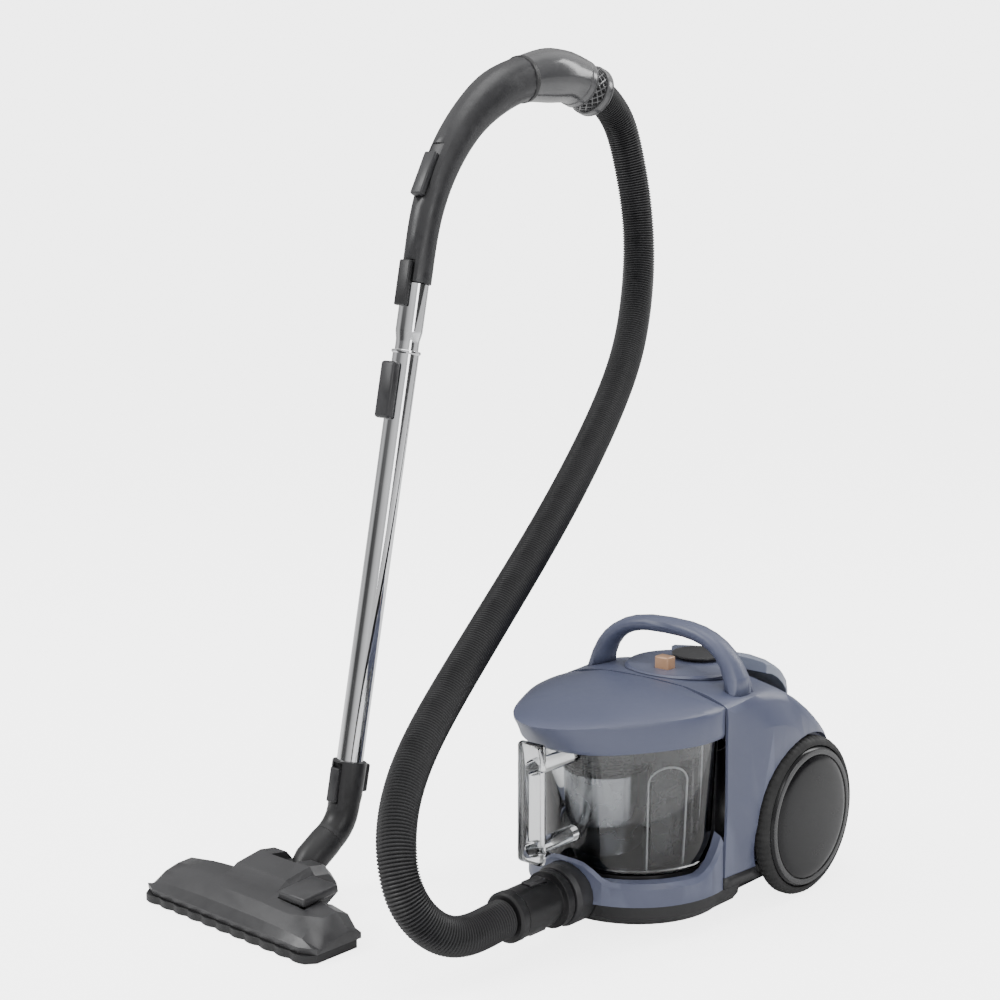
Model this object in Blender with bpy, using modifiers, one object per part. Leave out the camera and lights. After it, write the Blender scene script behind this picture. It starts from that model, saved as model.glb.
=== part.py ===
"""Bagless canister vacuum cleaner with its hose, handle, telescopic wand and floor nozzle.

Metres, +Z up.  The canister faces -Y and its left side is +X.  The wand and nozzle stand to its right.
All lengths below are measured from the centre of the dust container, on the floor; the empty named
vacuum_cleaner shifts the whole model so that its origin lies under the middle of its bounding box.
"""

import math

import bmesh
import bpy
import numpy as np
from mathutils import Matrix, Vector

# ---- driving dimensions -------------------------------------------------------------------------
ORIGIN_SHIFT = (0.1290, 0.0386, 0.0)
GAP = 0.0003
SEGMENTS = 24

PARTING_Y = 0.018
SHELL_WALL = 0.003
SHELL_FOOT_Z = 0.036

BIN_TOP_RADIUS = 0.0975
BIN_FOOT_RADIUS = 0.0900
BIN_BACK_Y = 0.012
BIN_FLOOR_Z = 0.0615
BIN_TOP_Z = 0.2000
BIN_WALL = 0.002

LID_RADIUS = 0.1035
LID_BACK_Y = 0.0165
NOSE_LENGTH = 0.0560
LID_WALL = 0.0025

WHEEL_RADIUS = 0.0835
WHEEL_CENTRE = (0.0, 0.147, 0.0835)
WHEEL_INNER_X = 0.1045
WHEEL_OUTER_X = 0.1220
WELL_RADIUS = 0.0875
WELL_INNER_X = 0.1005

INLET = (0.0, -0.100, 0.042)
CUFF_LENGTH = 0.095
HOSE_DIAMETER = 0.040

WAND_X = -0.255
ELBOW = (WAND_X, -0.166, 0.070)
WAND_LEAN = math.radians(11.8)
OUTER_TUBE_RADIUS = 0.0140
INNER_TUBE_RADIUS = 0.0125
TUBE_WALL = 0.0010
TUBE_FOOT_S = 0.030
OUTER_TUBE_TOP_S = 0.500
SOCKET_TOP_S = 0.5710

NECK_PIVOT = (WAND_X, -0.228, 0.030)
NOZZLE_FRONT_Y = -0.331
NOZZLE_LENGTH = 0.260
SOLE_THICKNESS = 0.0082

# route of the suction hose, from the cuff at the canister to the swivel cuff at the handle
HOSE_ROUTE = (
    (0.0000, -0.1953, 0.0420),
    (0.0000, -0.2320, 0.0405),
    (-0.0035, -0.2640, 0.0445),
    (-0.0120, -0.2890, 0.0620),
    (-0.0235, -0.3030, 0.0910),
    (-0.0380, -0.2990, 0.1270),
    (-0.0560, -0.2760, 0.1620),
    (-0.0760, -0.2340, 0.1960),
    (-0.0970, -0.1760, 0.2300),
    (-0.1150, -0.1140, 0.2660),
    (-0.1320, -0.0480, 0.3060),
    (-0.1480, 0.0160, 0.3460),
    (-0.1660, 0.0840, 0.3900),
    (-0.1870, 0.1550, 0.4380),
    (-0.2060, 0.2200, 0.4900),
    (-0.2230, 0.2720, 0.5440),
    (-0.2360, 0.3040, 0.6020),
    (-0.2440, 0.3180, 0.6600),
    (-0.2485, 0.3165, 0.7160),
    (-0.2520, 0.3055, 0.7680),
    (-0.2545, 0.2860, 0.8120),
    (-0.2550, 0.2463, 0.8384),
)
HOSE_POINTS = 62
HOSE_LEAD = 0.010

# centreline of the handle in the plane of the wand: y, z, radius
HANDLE_PATH = (
    (-0.0490, 0.6293, 0.0165),
    (-0.0427, 0.6600, 0.0165),
    (-0.0350, 0.6920, 0.0170),
    (-0.0230, 0.7240, 0.0178),
    (-0.0060, 0.7550, 0.0190),
    (0.0165, 0.7845, 0.0205),
    (0.0445, 0.8110, 0.0225),
    (0.0780, 0.8325, 0.0245),
    (0.1180, 0.8470, 0.0255),
    (0.1600, 0.8535, 0.0300),
    (0.1900, 0.8538, 0.0290),
    (0.2075, 0.8503, 0.0280),
)
HANDLE_EXIT = (0.0, 0.9563, -0.2924)
SWIVEL_LENGTH = 0.0400

for old in list(bpy.data.objects):
    bpy.data.objects.remove(old, do_unlink=True)

PARTS = bpy.data.collections.new("canister_vacuum_cleaner")
CUTTERS = bpy.data.collections.new("cutters")
bpy.context.scene.collection.children.link(PARTS)
bpy.context.scene.collection.children.link(CUTTERS)


# ---- materials ----------------------------------------------------------------------------------
def make_material(name, colour, roughness, metallic=0.0, transmission=0.0):
    """A plain Principled material."""
    made = bpy.data.materials.new(name)
    made.use_nodes = True
    shader = made.node_tree.nodes["Principled BSDF"]
    shader.inputs["Base Color"].default_value = (*colour, 1.0)
    shader.inputs["Roughness"].default_value = roughness
    shader.inputs["Metallic"].default_value = metallic
    shader.inputs["Transmission Weight"].default_value = transmission
    made.diffuse_color = (*colour, 1.0)
    return made


BLUE = make_material("slate_blue_plastic", (0.130, 0.150, 0.235), 0.42)
PALE_BLUE = make_material("pale_blue_plastic", (0.330, 0.360, 0.450), 0.38)
BLACK = make_material("black_plastic", (0.018, 0.018, 0.019), 0.50)
PANEL_GREY = make_material("pale_grey_panel", (0.50, 0.51, 0.52), 0.45)
GREY = make_material("dark_grey_plastic", (0.060, 0.060, 0.063), 0.45)
MID_GREY = make_material("mid_grey_gloss", (0.150, 0.150, 0.155), 0.22)
CHROME = make_material("chrome_steel", (0.820, 0.825, 0.835), 0.08, 1.0)
STEEL = make_material("plain_steel", (0.520, 0.520, 0.520), 0.30, 1.0)
CLEAR = make_material("clear_bin_plastic", (0.920, 0.930, 0.940), 0.04, 0.0, 0.9)
SILVER = make_material("silver_cyclone_plastic", (0.400, 0.405, 0.415), 0.25, 0.3)
COPPER = make_material("copper_button", (0.600, 0.290, 0.130), 0.35, 0.6)
RUBBER = make_material("tyre_rubber", (0.015, 0.015, 0.015), 0.75)
HOSE_SKIN = make_material("hose_plastic", (0.022, 0.022, 0.024), 0.50)
FOAM = make_material("filter_foam", (0.050, 0.055, 0.060), 0.95)
PAPER = make_material("pleated_filter_paper", (0.700, 0.690, 0.650), 0.90)
BRISTLE = make_material("bristle_nylon", (0.040, 0.040, 0.042), 0.80)


# ---- shared modelling steps ---------------------------------------------------------------------
def make_empty(name, location=(0.0, 0.0, 0.0), rotation=(0.0, 0.0, 0.0), parent=None):
    made = bpy.data.objects.new(name, None)
    made.location = location
    made.rotation_euler = rotation
    made.parent = parent
    PARTS.objects.link(made)
    return made


ROOT = make_empty("vacuum_cleaner", ORIGIN_SHIFT)


def place(name, mesh, material, parent, location, rotation, cutter=False):
    """Makes the object of a mesh, as a part or, with cutter set, as a hidden tool."""
    made = bpy.data.objects.new(name, mesh)
    made.location = location
    made.rotation_euler = rotation
    made.parent = parent if parent is not None else ROOT
    if cutter:
        made.hide_render = True
        made.display_type = "WIRE"
        CUTTERS.objects.link(made)
    else:
        mesh.materials.append(material)
        PARTS.objects.link(made)
    return made


def finish_mesh(builder, name, smooth_angle=35.0):
    mesh = bpy.data.meshes.new(name)
    builder.normal_update()
    builder.to_mesh(mesh)
    builder.free()
    mesh.shade_smooth()
    mesh.set_sharp_from_angle(angle=math.radians(smooth_angle))
    return mesh


def box(name, size, material=None, parent=None, location=(0, 0, 0), rotation=(0, 0, 0), round_by=0.0,
        round_steps=2, cutter=False):
    """A box of the given size, with its edges rounded by a Bevel modifier."""
    builder = bmesh.new()
    bmesh.ops.create_cube(builder, size=1.0)
    bmesh.ops.scale(builder, vec=size, verts=builder.verts)
    made = place(name, finish_mesh(builder, name), material, parent, location, rotation, cutter)
    if round_by > 0.0:
        bevel = made.modifiers.new("round", "BEVEL")
        bevel.width = round_by
        bevel.segments = round_steps
        bevel.limit_method = "ANGLE"
    return made


def rod(name, radius, length, material=None, parent=None, location=(0, 0, 0), rotation=(0, 0, 0),
        segments=SEGMENTS, cutter=False):
    """A straight round bar along its own Z, centred on its origin."""
    builder = bmesh.new()
    bmesh.ops.create_cone(builder, cap_ends=True, segments=segments, radius1=radius, radius2=radius,
                          depth=length)
    return place(name, finish_mesh(builder, name), material, parent, location, rotation, cutter)


def turned(name, profile, material, parent=None, location=(0, 0, 0), rotation=(0, 0, 0),
           segments=SEGMENTS, closed=False, cutter=False):
    """Spins a profile of (radius, height) points about Z; closed profiles make rings."""
    mesh = bpy.data.meshes.new(name)
    points = [(radius, 0.0, height) for radius, height in profile]
    edges = [(i, i + 1) for i in range(len(points) - 1)]
    if closed:
        edges.append((len(points) - 1, 0))
    mesh.from_pydata(points, edges, [])
    made = place(name, mesh, material, parent, location, rotation, cutter)
    screw = made.modifiers.new("turn", "SCREW")
    screw.axis = "Z"
    screw.angle = 2.0 * math.pi
    screw.steps = segments
    screw.render_steps = segments
    screw.use_merge_vertices = True
    screw.merge_threshold = 0.0001
    screw.use_smooth_shade = True
    return made


def loft(name, rings, material, parent=None, location=(0, 0, 0), rotation=(0, 0, 0), cap_first=True,
         cap_last=True, closed_rings=True, cutter=False):
    """Joins rings of equally many points by quads; rings run so that the outside faces out."""
    builder = bmesh.new()
    rows = [[builder.verts.new(point) for point in ring] for ring in rings]
    count = len(rows[0])
    spans = count if closed_rings else count - 1
    for lower, upper in zip(rows[:-1], rows[1:]):
        for i in range(spans):
            j = (i + 1) % count
            builder.faces.new((lower[i], lower[j], upper[j], upper[i]))
    if cap_first:
        builder.faces.new(list(reversed(rows[0])))
    if cap_last:
        builder.faces.new(rows[-1])
    made = place(name, finish_mesh(builder, name), material, parent, location, rotation, cutter)
    made["curved_faces"] = True
    return made


def flatten_faces(obj):
    """Splits the bent faces of a loft into triangles, ready for a Boolean."""
    if obj.get("curved_faces") and "facets" not in obj.modifiers:
        facets = obj.modifiers.new("facets", "TRIANGULATE")
        if obj.get("same_diagonals"):
            facets.quad_method = "FIXED"


def thicken(obj, thickness, offset=-1.0):
    solid = obj.modifiers.new("wall", "SOLIDIFY")
    solid.thickness = thickness
    solid.offset = offset
    solid.use_even_offset = True


def cut(obj, *tools):
    flatten_faces(obj)
    for tool in tools:
        flatten_faces(tool)
        step = obj.modifiers.new("cut_" + tool.name, "BOOLEAN")
        step.operation = "DIFFERENCE"
        step.solver = "EXACT"
        step.object = tool


def join(obj, *tools):
    flatten_faces(obj)
    for tool in tools:
        flatten_faces(tool)
        step = obj.modifiers.new("join_" + tool.name, "BOOLEAN")
        step.operation = "UNION"
        step.solver = "EXACT"
        step.object = tool


def natural_spline(points, count):
    """Points at even steps along a natural cubic spline through the given ones."""
    knots = np.array(points, dtype=float)
    steps = np.sqrt(np.linalg.norm(np.diff(knots, axis=0), axis=1))
    along = np.concatenate(([0.0], np.cumsum(steps)))
    size = len(knots)
    matrix = np.eye(size)
    target = np.zeros_like(knots)
    for i in range(1, size - 1):
        matrix[i, i - 1] = steps[i - 1]
        matrix[i, i] = 2.0 * (steps[i - 1] + steps[i])
        matrix[i, i + 1] = steps[i]
        rise = (knots[i + 1] - knots[i]) / steps[i]
        fall = (knots[i] - knots[i - 1]) / steps[i - 1]
        target[i] = 6.0 * (rise - fall)
    bend = np.linalg.solve(matrix, target)
    fine = []
    for at in np.linspace(0.0, along[-1], 40 * size):
        i = min(int(np.searchsorted(along, at, side="right")) - 1, size - 2)
        before = at - along[i]
        after = along[i + 1] - at
        step = steps[i]
        curve = (bend[i] * after ** 3 + bend[i + 1] * before ** 3) / (6.0 * step)
        line = (knots[i] / step - bend[i] * step / 6.0) * after
        line = line + (knots[i + 1] / step - bend[i + 1] * step / 6.0) * before
        fine.append(curve + line)
    fine = np.array(fine)
    length = np.concatenate(([0.0], np.cumsum(np.linalg.norm(np.diff(fine, axis=0), axis=1))))
    wanted = np.linspace(0.0, length[-1], count)
    return np.stack([np.interp(wanted, length, fine[:, k]) for k in range(fine.shape[1])], axis=1)


def circle_ring(centre, tangent, radius, segments=16):
    """A ring round a tangent that lies in the YZ plane."""
    forward = Vector(tangent).normalized()
    side = Vector((1.0, 0.0, 0.0))
    up = forward.cross(side)
    ring = []
    for i in range(segments):
        turn = 2.0 * math.pi * i / segments
        ring.append(Vector(centre) + (math.cos(turn) * side + math.sin(turn) * up) * float(radius))
    return ring


def swept(name, stations, material, parent=None, location=(0, 0, 0), segments=16, cutter=False):
    """A round bar through stations of (x, y, z, radius) that lie in one YZ plane."""
    rings = []
    for i, station in enumerate(stations):
        before = Vector(stations[max(i - 1, 0)][:3])
        after = Vector(stations[min(i + 1, len(stations) - 1)][:3])
        rings.append(circle_ring(station[:3], after - before, station[3], segments))
    return loft(name, rings, material, parent, location, cutter=cutter)


# ---- outlines of the canister -------------------------------------------------------------------
def front_arc(radius, back_y, steps, nose=0.0, nose_spread=31.0, nose_power=1.8):
    """Points from the left end of a round front, past -Y, to its right end, with an optional nose."""
    end = math.asin(back_y / radius)
    points = []
    for i in range(steps + 1):
        turn = end - (math.pi + 2.0 * end) * i / steps
        off_axis = abs(math.degrees(turn + math.pi / 2.0))
        reach = radius + nose * math.exp(-((off_axis / nose_spread) ** nose_power))
        points.append((reach * math.cos(turn), reach * math.sin(turn)))
    return points


def close_back(arc, back_y):
    """The round front closed by a straight back with three points on it."""
    last_x = arc[-1][0]
    return arc + [(last_x * share, back_y) for share in (0.5, 0.0, -0.5)]


def d_outline(radius, back_y, steps=36):
    return close_back(front_arc(radius, back_y, steps), back_y)


# rear body along Y: half widths at the foot, waist, shoulder and crease, height of the crease and of
# the centre line, and how squarely the upper face meets the crease
BODY_FORM = (
    (-0.040, 0.1045, 0.1045, 0.1045, 0.1035, 0.2225, 0.2370, 3.2),
    (0.018, 0.1045, 0.1055, 0.1050, 0.1035, 0.2225, 0.2370, 3.2),
    (0.055, 0.1070, 0.1130, 0.1100, 0.1035, 0.2255, 0.2350, 3.2),
    (0.090, 0.1090, 0.1180, 0.1150, 0.1020, 0.2255, 0.2330, 3.2),
    (0.115, 0.1100, 0.1195, 0.1170, 0.1030, 0.2205, 0.2315, 2.4),
    (0.135, 0.1100, 0.1195, 0.1170, 0.1090, 0.2085, 0.2290, 1.6),
    (0.160, 0.1080, 0.1190, 0.1160, 0.1115, 0.1890, 0.2240, 1.3),
    (0.190, 0.1040, 0.1150, 0.1130, 0.1080, 0.1640, 0.2130, 1.3),
    (0.215, 0.0970, 0.1050, 0.1030, 0.0970, 0.1430, 0.1950, 1.4),
    (0.236, 0.0890, 0.0950, 0.0900, 0.0820, 0.1260, 0.1680, 1.6),
    (0.251, 0.0780, 0.0800, 0.0750, 0.0660, 0.1150, 0.1480, 2.0),
)


def body_section(y):
    """The row of BODY_FORM at y, between its stations."""
    rows = np.array(BODY_FORM)
    return [float(np.interp(y, rows[:, 0], rows[:, k])) for k in range(1, rows.shape[1])]


def top_crease_z(y):
    """Height of the crease between the upper face and the side band of lid and body."""
    return body_section(y)[4] if y > PARTING_Y else 0.2225


def ridge_z(y):
    """Height of the upper face on the centre line."""
    if y > PARTING_Y:
        return body_section(y)[5]
    return float(np.interp(y, (-0.160, -0.120, -0.060, PARTING_Y), (0.2232, 0.2275, 0.2330, 0.2370)))


def top_face_z(x, y, half_width, squareness=3.2):
    share = min(1.0, abs(x) / max(half_width, 1e-6))
    return ridge_z(y) - (ridge_z(y) - top_crease_z(y)) * share ** squareness


def hull_rings(inset, foot_z):
    """Cross-sections of the rear body along Y, drawn in by inset on all sides."""
    ys = [row[0] for row in BODY_FORM]
    path = natural_spline([(*row[:-1], 0.001 * row[-1]) for row in BODY_FORM], 22)
    rings = []
    for row in path:
        y, foot, waist, shoulder, crease, crease_z, top, squareness = map(float, row)
        shift = 0.0
        if inset > 0.0 and y < ys[0] + 0.001:
            shift = -0.02
        if y > ys[-1] - 0.001:
            shift = -inset
        half = [
            (0.0, foot_z),
            (foot - inset, foot_z),
            (foot - inset, 0.050),
            (waist - inset, 0.095),
            (0.5 * (waist + shoulder) + 0.0006 - inset, 0.125),
            (shoulder - inset, crease_z - 0.034),
            (0.35 * shoulder + 0.65 * crease + 0.0008 - inset, crease_z - 0.010 - 0.5 * inset),
            (crease - inset, crease_z - 0.0010 - inset),
        ]
        for share in (0.955, 0.87, 0.74, 0.52, 0.26, 0.0):
            z = top - (top - crease_z) * share ** (1000.0 * squareness)
            half.append((share * (crease - inset), z - inset))
        right = [(-x, y + shift, z) for x, z in reversed(half[1:-1])]
        left = [(x, y + shift, z) for x, z in half]
        rings.append(list(reversed(left + right)))
    return rings


def hull(name, inset, foot_z):
    """The outer form of the rear body, drawn in by inset, as a cutter."""
    made = loft(name, hull_rings(inset, foot_z), None, cutter=True)
    made["same_diagonals"] = True
    return made


# ---- canister: chassis and shells ---------------------------------------------------------------
def build_base_pan():
    """Black tray under the machine, with the pocket of the front caster."""
    arc = front_arc(0.1000, 0.018, 28)
    tail = [(-0.0985, 0.053), (-0.0860, 0.058), (-0.0840, 0.226), (0.0, 0.232), (0.0840, 0.226),
            (0.0860, 0.058), (0.0985, 0.053)]
    outline = arc + tail
    rings = []
    for share, z in ((1.0, 0.0355), (0.985, 0.0220), (0.93, 0.0140), (0.86, 0.0120)):
        rings.append([(x * share, 0.03 + (y - 0.03) * share, z) for x, y in reversed(outline)])
    rings.reverse()
    pan = loft("base_pan", rings, BLACK, cap_last=False)
    thicken(pan, 0.0025)
    seat = []
    for z in (0.0135, 0.0612):
        seat.append([(x, y, z) for x, y in reversed(d_outline(0.0860, BIN_BACK_Y))])
    seat = loft("bin_seat", seat, None, cutter=True)
    seat_room = box("bin_seat_room", (0.1200, 0.0900, 0.0410), location=(0.0, -0.0150, 0.0365),
                    cutter=True)
    cup = rod("caster_cup", 0.0235, 0.0260, location=(0.0, -0.048, 0.0260), cutter=True)
    pocket = rod("caster_pocket", 0.0210, 0.0460, location=(0.0, -0.048, 0.0130), cutter=True)
    stem_hole = rod("caster_stem_hole", 0.0044, 0.0300, location=(0.0, -0.048, 0.0400), cutter=True)
    inlet_room = rod("inlet_room_pan", 0.0318, 0.0800, parent=INLET_AXIS,
                     location=(0.0, 0.0, 0.0305), cutter=True)
    join(pan, seat)
    cut(pan, seat_room)
    join(pan, cup)
    cut(pan, pocket, stem_hole, inlet_room)


def build_skirt():
    """Blue band round the foot of the container, arched over the hose inlet."""
    section = ((0.0930, 0.0576, 0.0), (0.0995, 0.0562, 0.0175), (0.1014, 0.0530, 0.0190),
               (0.1018, 0.0362, 0.0), (0.1046, 0.0362, 0.0), (0.1042, 0.0540, 0.0205),
               (0.1010, 0.0590, 0.0185), (0.0930, 0.0604, 0.0))
    arcs = [front_arc(radius, 0.0170, 36) for radius, z, lift in section]
    rings = []
    for i in range(37):
        ring = []
        for arc, (radius, z, lift) in zip(arcs, section):
            x, y = arc[i]
            off_axis = math.degrees(math.atan2(y, x) + math.pi / 2.0)
            ends = 0.0300 * max(0.0, (min(abs(off_axis), 360.0 - abs(off_axis)) - 76.0) / 23.0) ** 2
            rise = z + lift * math.exp(-((off_axis / 20.0) ** 4))
            ring.append((x, y, rise + (ends if z > 0.0500 else 0.0)))
        rings.append(ring)
    skirt = loft("front_skirt", rings, BLUE)
    inlet_room = rod("inlet_room_skirt", 0.0318, 0.0800, parent=INLET_AXIS,
                     location=(0.0, 0.0, 0.0200), cutter=True)
    cut(skirt, inlet_room)


def build_body_shell():
    """Blue rear body: a thin shell, open at its foot and towards the container."""
    rings = hull_rings(0.0, 0.000)
    shell = loft("body_shell", rings, BLUE)
    shell["same_diagonals"] = True

    hollow = hull("body_hollow", SHELL_WALL, -0.030)
    wells = []
    for side, word in ((1.0, "left"), (-1.0, "right")):
        wide = 0.080
        wells.append(rod("well_" + word, WELL_RADIUS, wide,
                         location=(side * (WELL_INNER_X + wide / 2.0), *WHEEL_CENTRE[1:]),
                         rotation=(0.0, math.pi / 2.0, 0.0), segments=40, cutter=True))
        liner = rod("well_liner_" + word, WELL_RADIUS + SHELL_WALL, wide,
                    location=(side * (WELL_INNER_X - SHELL_WALL + wide / 2.0), *WHEEL_CENTRE[1:]),
                    rotation=(0.0, math.pi / 2.0, 0.0), segments=40, cutter=True)
        cut(hollow, liner)
    front = box("front_trim", (0.30, 0.20, 0.40), location=(0.0, PARTING_Y - 0.10, 0.12), cutter=True)
    foot = box("foot_trim", (0.30, 0.60, 0.10), location=(0.0, 0.10, SHELL_FOOT_Z - 0.05), cutter=True)
    grille_hole = box("grille_hole", (0.0896, 0.060, 0.0596), location=(0.0, 0.240, 0.105), cutter=True)
    cable_hole = rod("cable_hole", 0.0078, 0.040, location=(0.0, 0.240, 0.055),
                     rotation=(math.pi / 2.0, 0.0, 0.0), cutter=True)
    cut(shell, front, foot, *wells, hollow, grille_hole, cable_hole)
    for name, side in PEDALS:
        cut(shell, pedal_form("pocket_" + name, side, 0.0005, None))
    cut(shell, box("button_pocket_shell", (0.0186, 0.0146, 0.030), location=(0.0, 0.0540, 0.236),
                   cutter=True))


def build_bulkhead():
    """Inner wall between the container and the motor room, with the round air opening."""
    wall = box("bulkhead", (0.180, 0.0030, 0.168), BLACK, location=(0.0, 0.0206, 0.1315),
               round_by=0.0)
    opening = rod("air_opening", 0.030, 0.020, location=(0.0, 0.0206, 0.130),
                  rotation=(math.pi / 2.0, 0.0, 0.0), cutter=True)
    cut(wall, opening)


def build_carry_handle():
    """Arched handle across the machine, with flattened round section and wider feet."""
    rings = []
    steps = 16
    section = 12
    for i in range(steps + 1):
        turn = math.pi * i / steps
        side = math.cos(turn)
        rise = abs(math.sin(turn)) ** 0.62
        half_span = 0.0905 - 0.014 * rise
        x = half_span * math.copysign(abs(side) ** 0.72, side)
        z = 0.2180 + 0.0650 * rise
        foot = 1.0 - rise
        depth = 0.0120 + 0.0090 * foot ** 1.5
        thick = 0.0085 + 0.0030 * foot
        slope = Vector((-math.sin(turn) * 0.80, 0.0, math.cos(turn) * 1.0))
        slope.normalize()
        normal = Vector((slope.z, 0.0, -slope.x))
        centre = Vector((x, 0.0600, z))
        ring = []
        for k in range(section):
            a = 2.0 * math.pi * k / section
            across = Vector((0.0, math.copysign(abs(math.cos(a)) ** 0.8, math.cos(a)) * depth, 0.0))
            ring.append(centre + across + normal * thick * math.sin(a))
        rings.append(ring)
    handle = loft("carry_handle", rings, BLUE)
    cut(handle, hull("handle_seat", -GAP, 0.0))


PEDALS = (("power_pedal", 1.0), ("rewind_pedal", -1.0))


def pedal_form(name, side, margin, material):
    """Foot pedal curving down over the rear of the machine, or with no material the room for it."""
    profile_y = (0.1480, 0.1640, 0.1830, 0.2020, 0.2180, 0.2320, 0.2500, 0.2700)
    profile_z = (0.2400, 0.2385, 0.2335, 0.2230, 0.2080, 0.1870, 0.1600, 0.1300)
    room = material is None
    rings = []
    for y in (0.1480, 0.1600, 0.1740, 0.1880, 0.2020, 0.2160, 0.2280):
        outer = 0.0620 * max(0.0, 1.0 - ((y - 0.148) / 0.092) ** 2) ** 0.4 + margin
        if room and y == 0.1480:
            y = y - margin
        if room and y == 0.2280:
            y = y + margin
        upper = []
        for share in (0.0, 0.35, 0.70, 0.93, 1.0):
            x = 0.0025 - margin + (outer - 0.0025 + margin) * share
            top = float(np.interp(y + 0.024 * (x / 0.062) ** 2.2, profile_y, profile_z))
            upper.append((side * x, y, top + (0.0200 if room else -0.0012 * (share in (0.0, 1.0)))))
        low = min(point[2] for point in upper) - (0.060 if room else 0.0100)
        ring = [(side * (0.0025 - margin), y, low), (side * outer, y, low), *reversed(upper)]
        rings.append(ring if side < 0.0 else list(reversed(ring)))
    return loft(name, rings, material, cutter=material is None)


def build_controls():
    """Round control deck, suction dial, container release button and the two foot pedals."""
    deck = turned("control_deck", ((0.0, 0.0030), (0.0570, 0.0022), (0.0600, 0.0), (0.0600, -0.0150),
                                   (0.0, -0.0150)), BLUE, location=(0.0, 0.0840, 0.2366), segments=40)
    cut(deck, hull("deck_seat", -2.0 * GAP, 0.0))
    cut(deck, box("button_pocket_deck", (0.0186, 0.0146, 0.060), location=(0.0, 0.0540, 0.236),
                  cutter=True))
    turned("suction_dial", ((0.0, 0.0058), (0.0240, 0.0058), (0.0280, 0.0046), (0.0285, 0.0026),
                            (0.0240, 0.0012), (0.0240, 0.0), (0.0, 0.0)), GREY,
           location=(0.0, 0.1130, 0.2398), segments=32)
    box("release_button", (0.0176, 0.0136, 0.0230), COPPER, location=(0.0, 0.0540, 0.2400),
        round_by=0.0015)
    for name, side in PEDALS:
        pedal_form(name, side, 0.0, PALE_BLUE)


def build_rear():
    """Exhaust grille and filter, and the gland that the mains cord runs through."""
    grille = box("exhaust_grille", (0.0888, 0.0040, 0.0588), GREY, location=(0.0, 0.2490, 0.105),
                 round_by=0.0012, round_steps=1)
    for i in range(5):
        cut(grille, box("grille_slot_%d" % i, (0.0720, 0.0200, 0.0050),
                        location=(0.0, 0.2490, 0.085 + 0.010 * i), cutter=True))
    box("exhaust_filter", (0.0800, 0.0120, 0.0500), PAPER, location=(0.0, 0.2300, 0.105))
    turned("cable_gland", ((0.0040, 0.0), (0.0072, 0.0), (0.0072, -0.0080), (0.0055, -0.0120),
                           (0.0040, -0.0120)), BLACK, location=(0.0, 0.2530, 0.055),
           rotation=(-math.pi / 2.0, 0.0, 0.0), segments=16, closed=True)


def build_motor_room():
    """Motor can, impeller, pre-motor filter and the spring-wound cord reel."""
    centre = (0.0, 0.0950, 0.0520)
    turned("motor_housing", ((0.0, 0.0020), (0.0400, 0.0020), (0.0400, 0.0980), (0.0420, 0.0980),
                             (0.0420, 0.0), (0.0260, -0.0040), (0.0260, -0.0370), (0.0, -0.0370)),
           GREY, location=centre, segments=28)
    impeller = turned("motor_impeller", ((0.0, 0.0780), (0.0090, 0.0780), (0.0090, 0.0640),
                                         (0.0350, 0.0600), (0.0350, 0.0570), (0.0060, 0.0570),
                                         (0.0060, 0.0023), (0.0, 0.0023)), STEEL, location=centre)
    for i in range(3):
        blade = box("impeller_blade_%d" % i, (0.0660, 0.0025, 0.0140), parent=impeller,
                    location=(0.0, 0.0, 0.0640), rotation=(0.0, 0.0, math.pi * i / 3.0), cutter=True)
        join(impeller, blade)
    box("pre_filter", (0.1100, 0.0140, 0.0800), FOAM, location=(0.0, 0.0300, 0.130))
    reel_at = (0.0, 0.1820, 0.1050)
    across = (0.0, math.pi / 2.0, 0.0)
    turned("cord_reel", ((0.0048, 0.0500), (0.0340, 0.0500), (0.0340, 0.0475), (0.0150, 0.0475),
                         (0.0150, -0.0475), (0.0340, -0.0475), (0.0340, -0.0500), (0.0048, -0.0500)),
           BLACK, location=reel_at, rotation=across, closed=True)
    rod("reel_spindle", 0.0044, 0.1240, STEEL, location=reel_at, rotation=across)


# ---- canister: dust container -------------------------------------------------------------------
def lid_form(name, share, lower, extra_depth):
    """The lid's form; the smaller one with its share under one is cut out to hollow the lid."""
    crease = close_back(front_arc(LID_RADIUS, LID_BACK_Y, 40, NOSE_LENGTH), LID_BACK_Y)
    foot = close_back(front_arc(LID_RADIUS, LID_BACK_Y, 40, 0.48 * NOSE_LENGTH, 38.0, 2.6), LID_BACK_Y)
    arc = sorted((y, x) for x, y in crease[:21])
    arc_y = [y for y, x in arc]
    arc_x = [x for y, x in arc]
    rings = []
    middle = -0.030
    reach = 1.0 if share == 1.0 else 0.55
    for ring_share, blend, drop in ((0.985, 0.0, 0.0300), (1.0, 0.12, 0.0265), (1.0, 0.85, 0.0040),
                                    (0.985, 1.0, 0.0005), (0.93, 1.0, 0.0), (0.80, 1.0, 0.0),
                                    (0.60, 1.0, 0.0), (0.35, 1.0, 0.0)):
        ring = []
        for (cx, cy), (fx, fy) in zip(crease, foot):
            x = (fx + (cx - fx) * blend * reach) * ring_share * share
            y = middle + (fy + (cy - fy) * blend * reach - middle) * ring_share * share
            if drop > 0.0:
                z = top_crease_z(y) - drop
                if cy > LID_BACK_Y - 1e-6 and drop < 0.005:
                    z = top_face_z(x, y, LID_RADIUS) - 0.2 * drop
            else:
                z = top_face_z(x, y, float(np.interp(y, arc_y, arc_x)))
            if share < 1.0 and drop > 0.028:
                z = z - extra_depth
            ring.append((x, y, z - lower))
        rings.append(list(reversed(ring)))
    if share < 1.0:
        return loft(name, rings, None, cutter=True)
    return loft(name, rings, BLUE)


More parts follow.
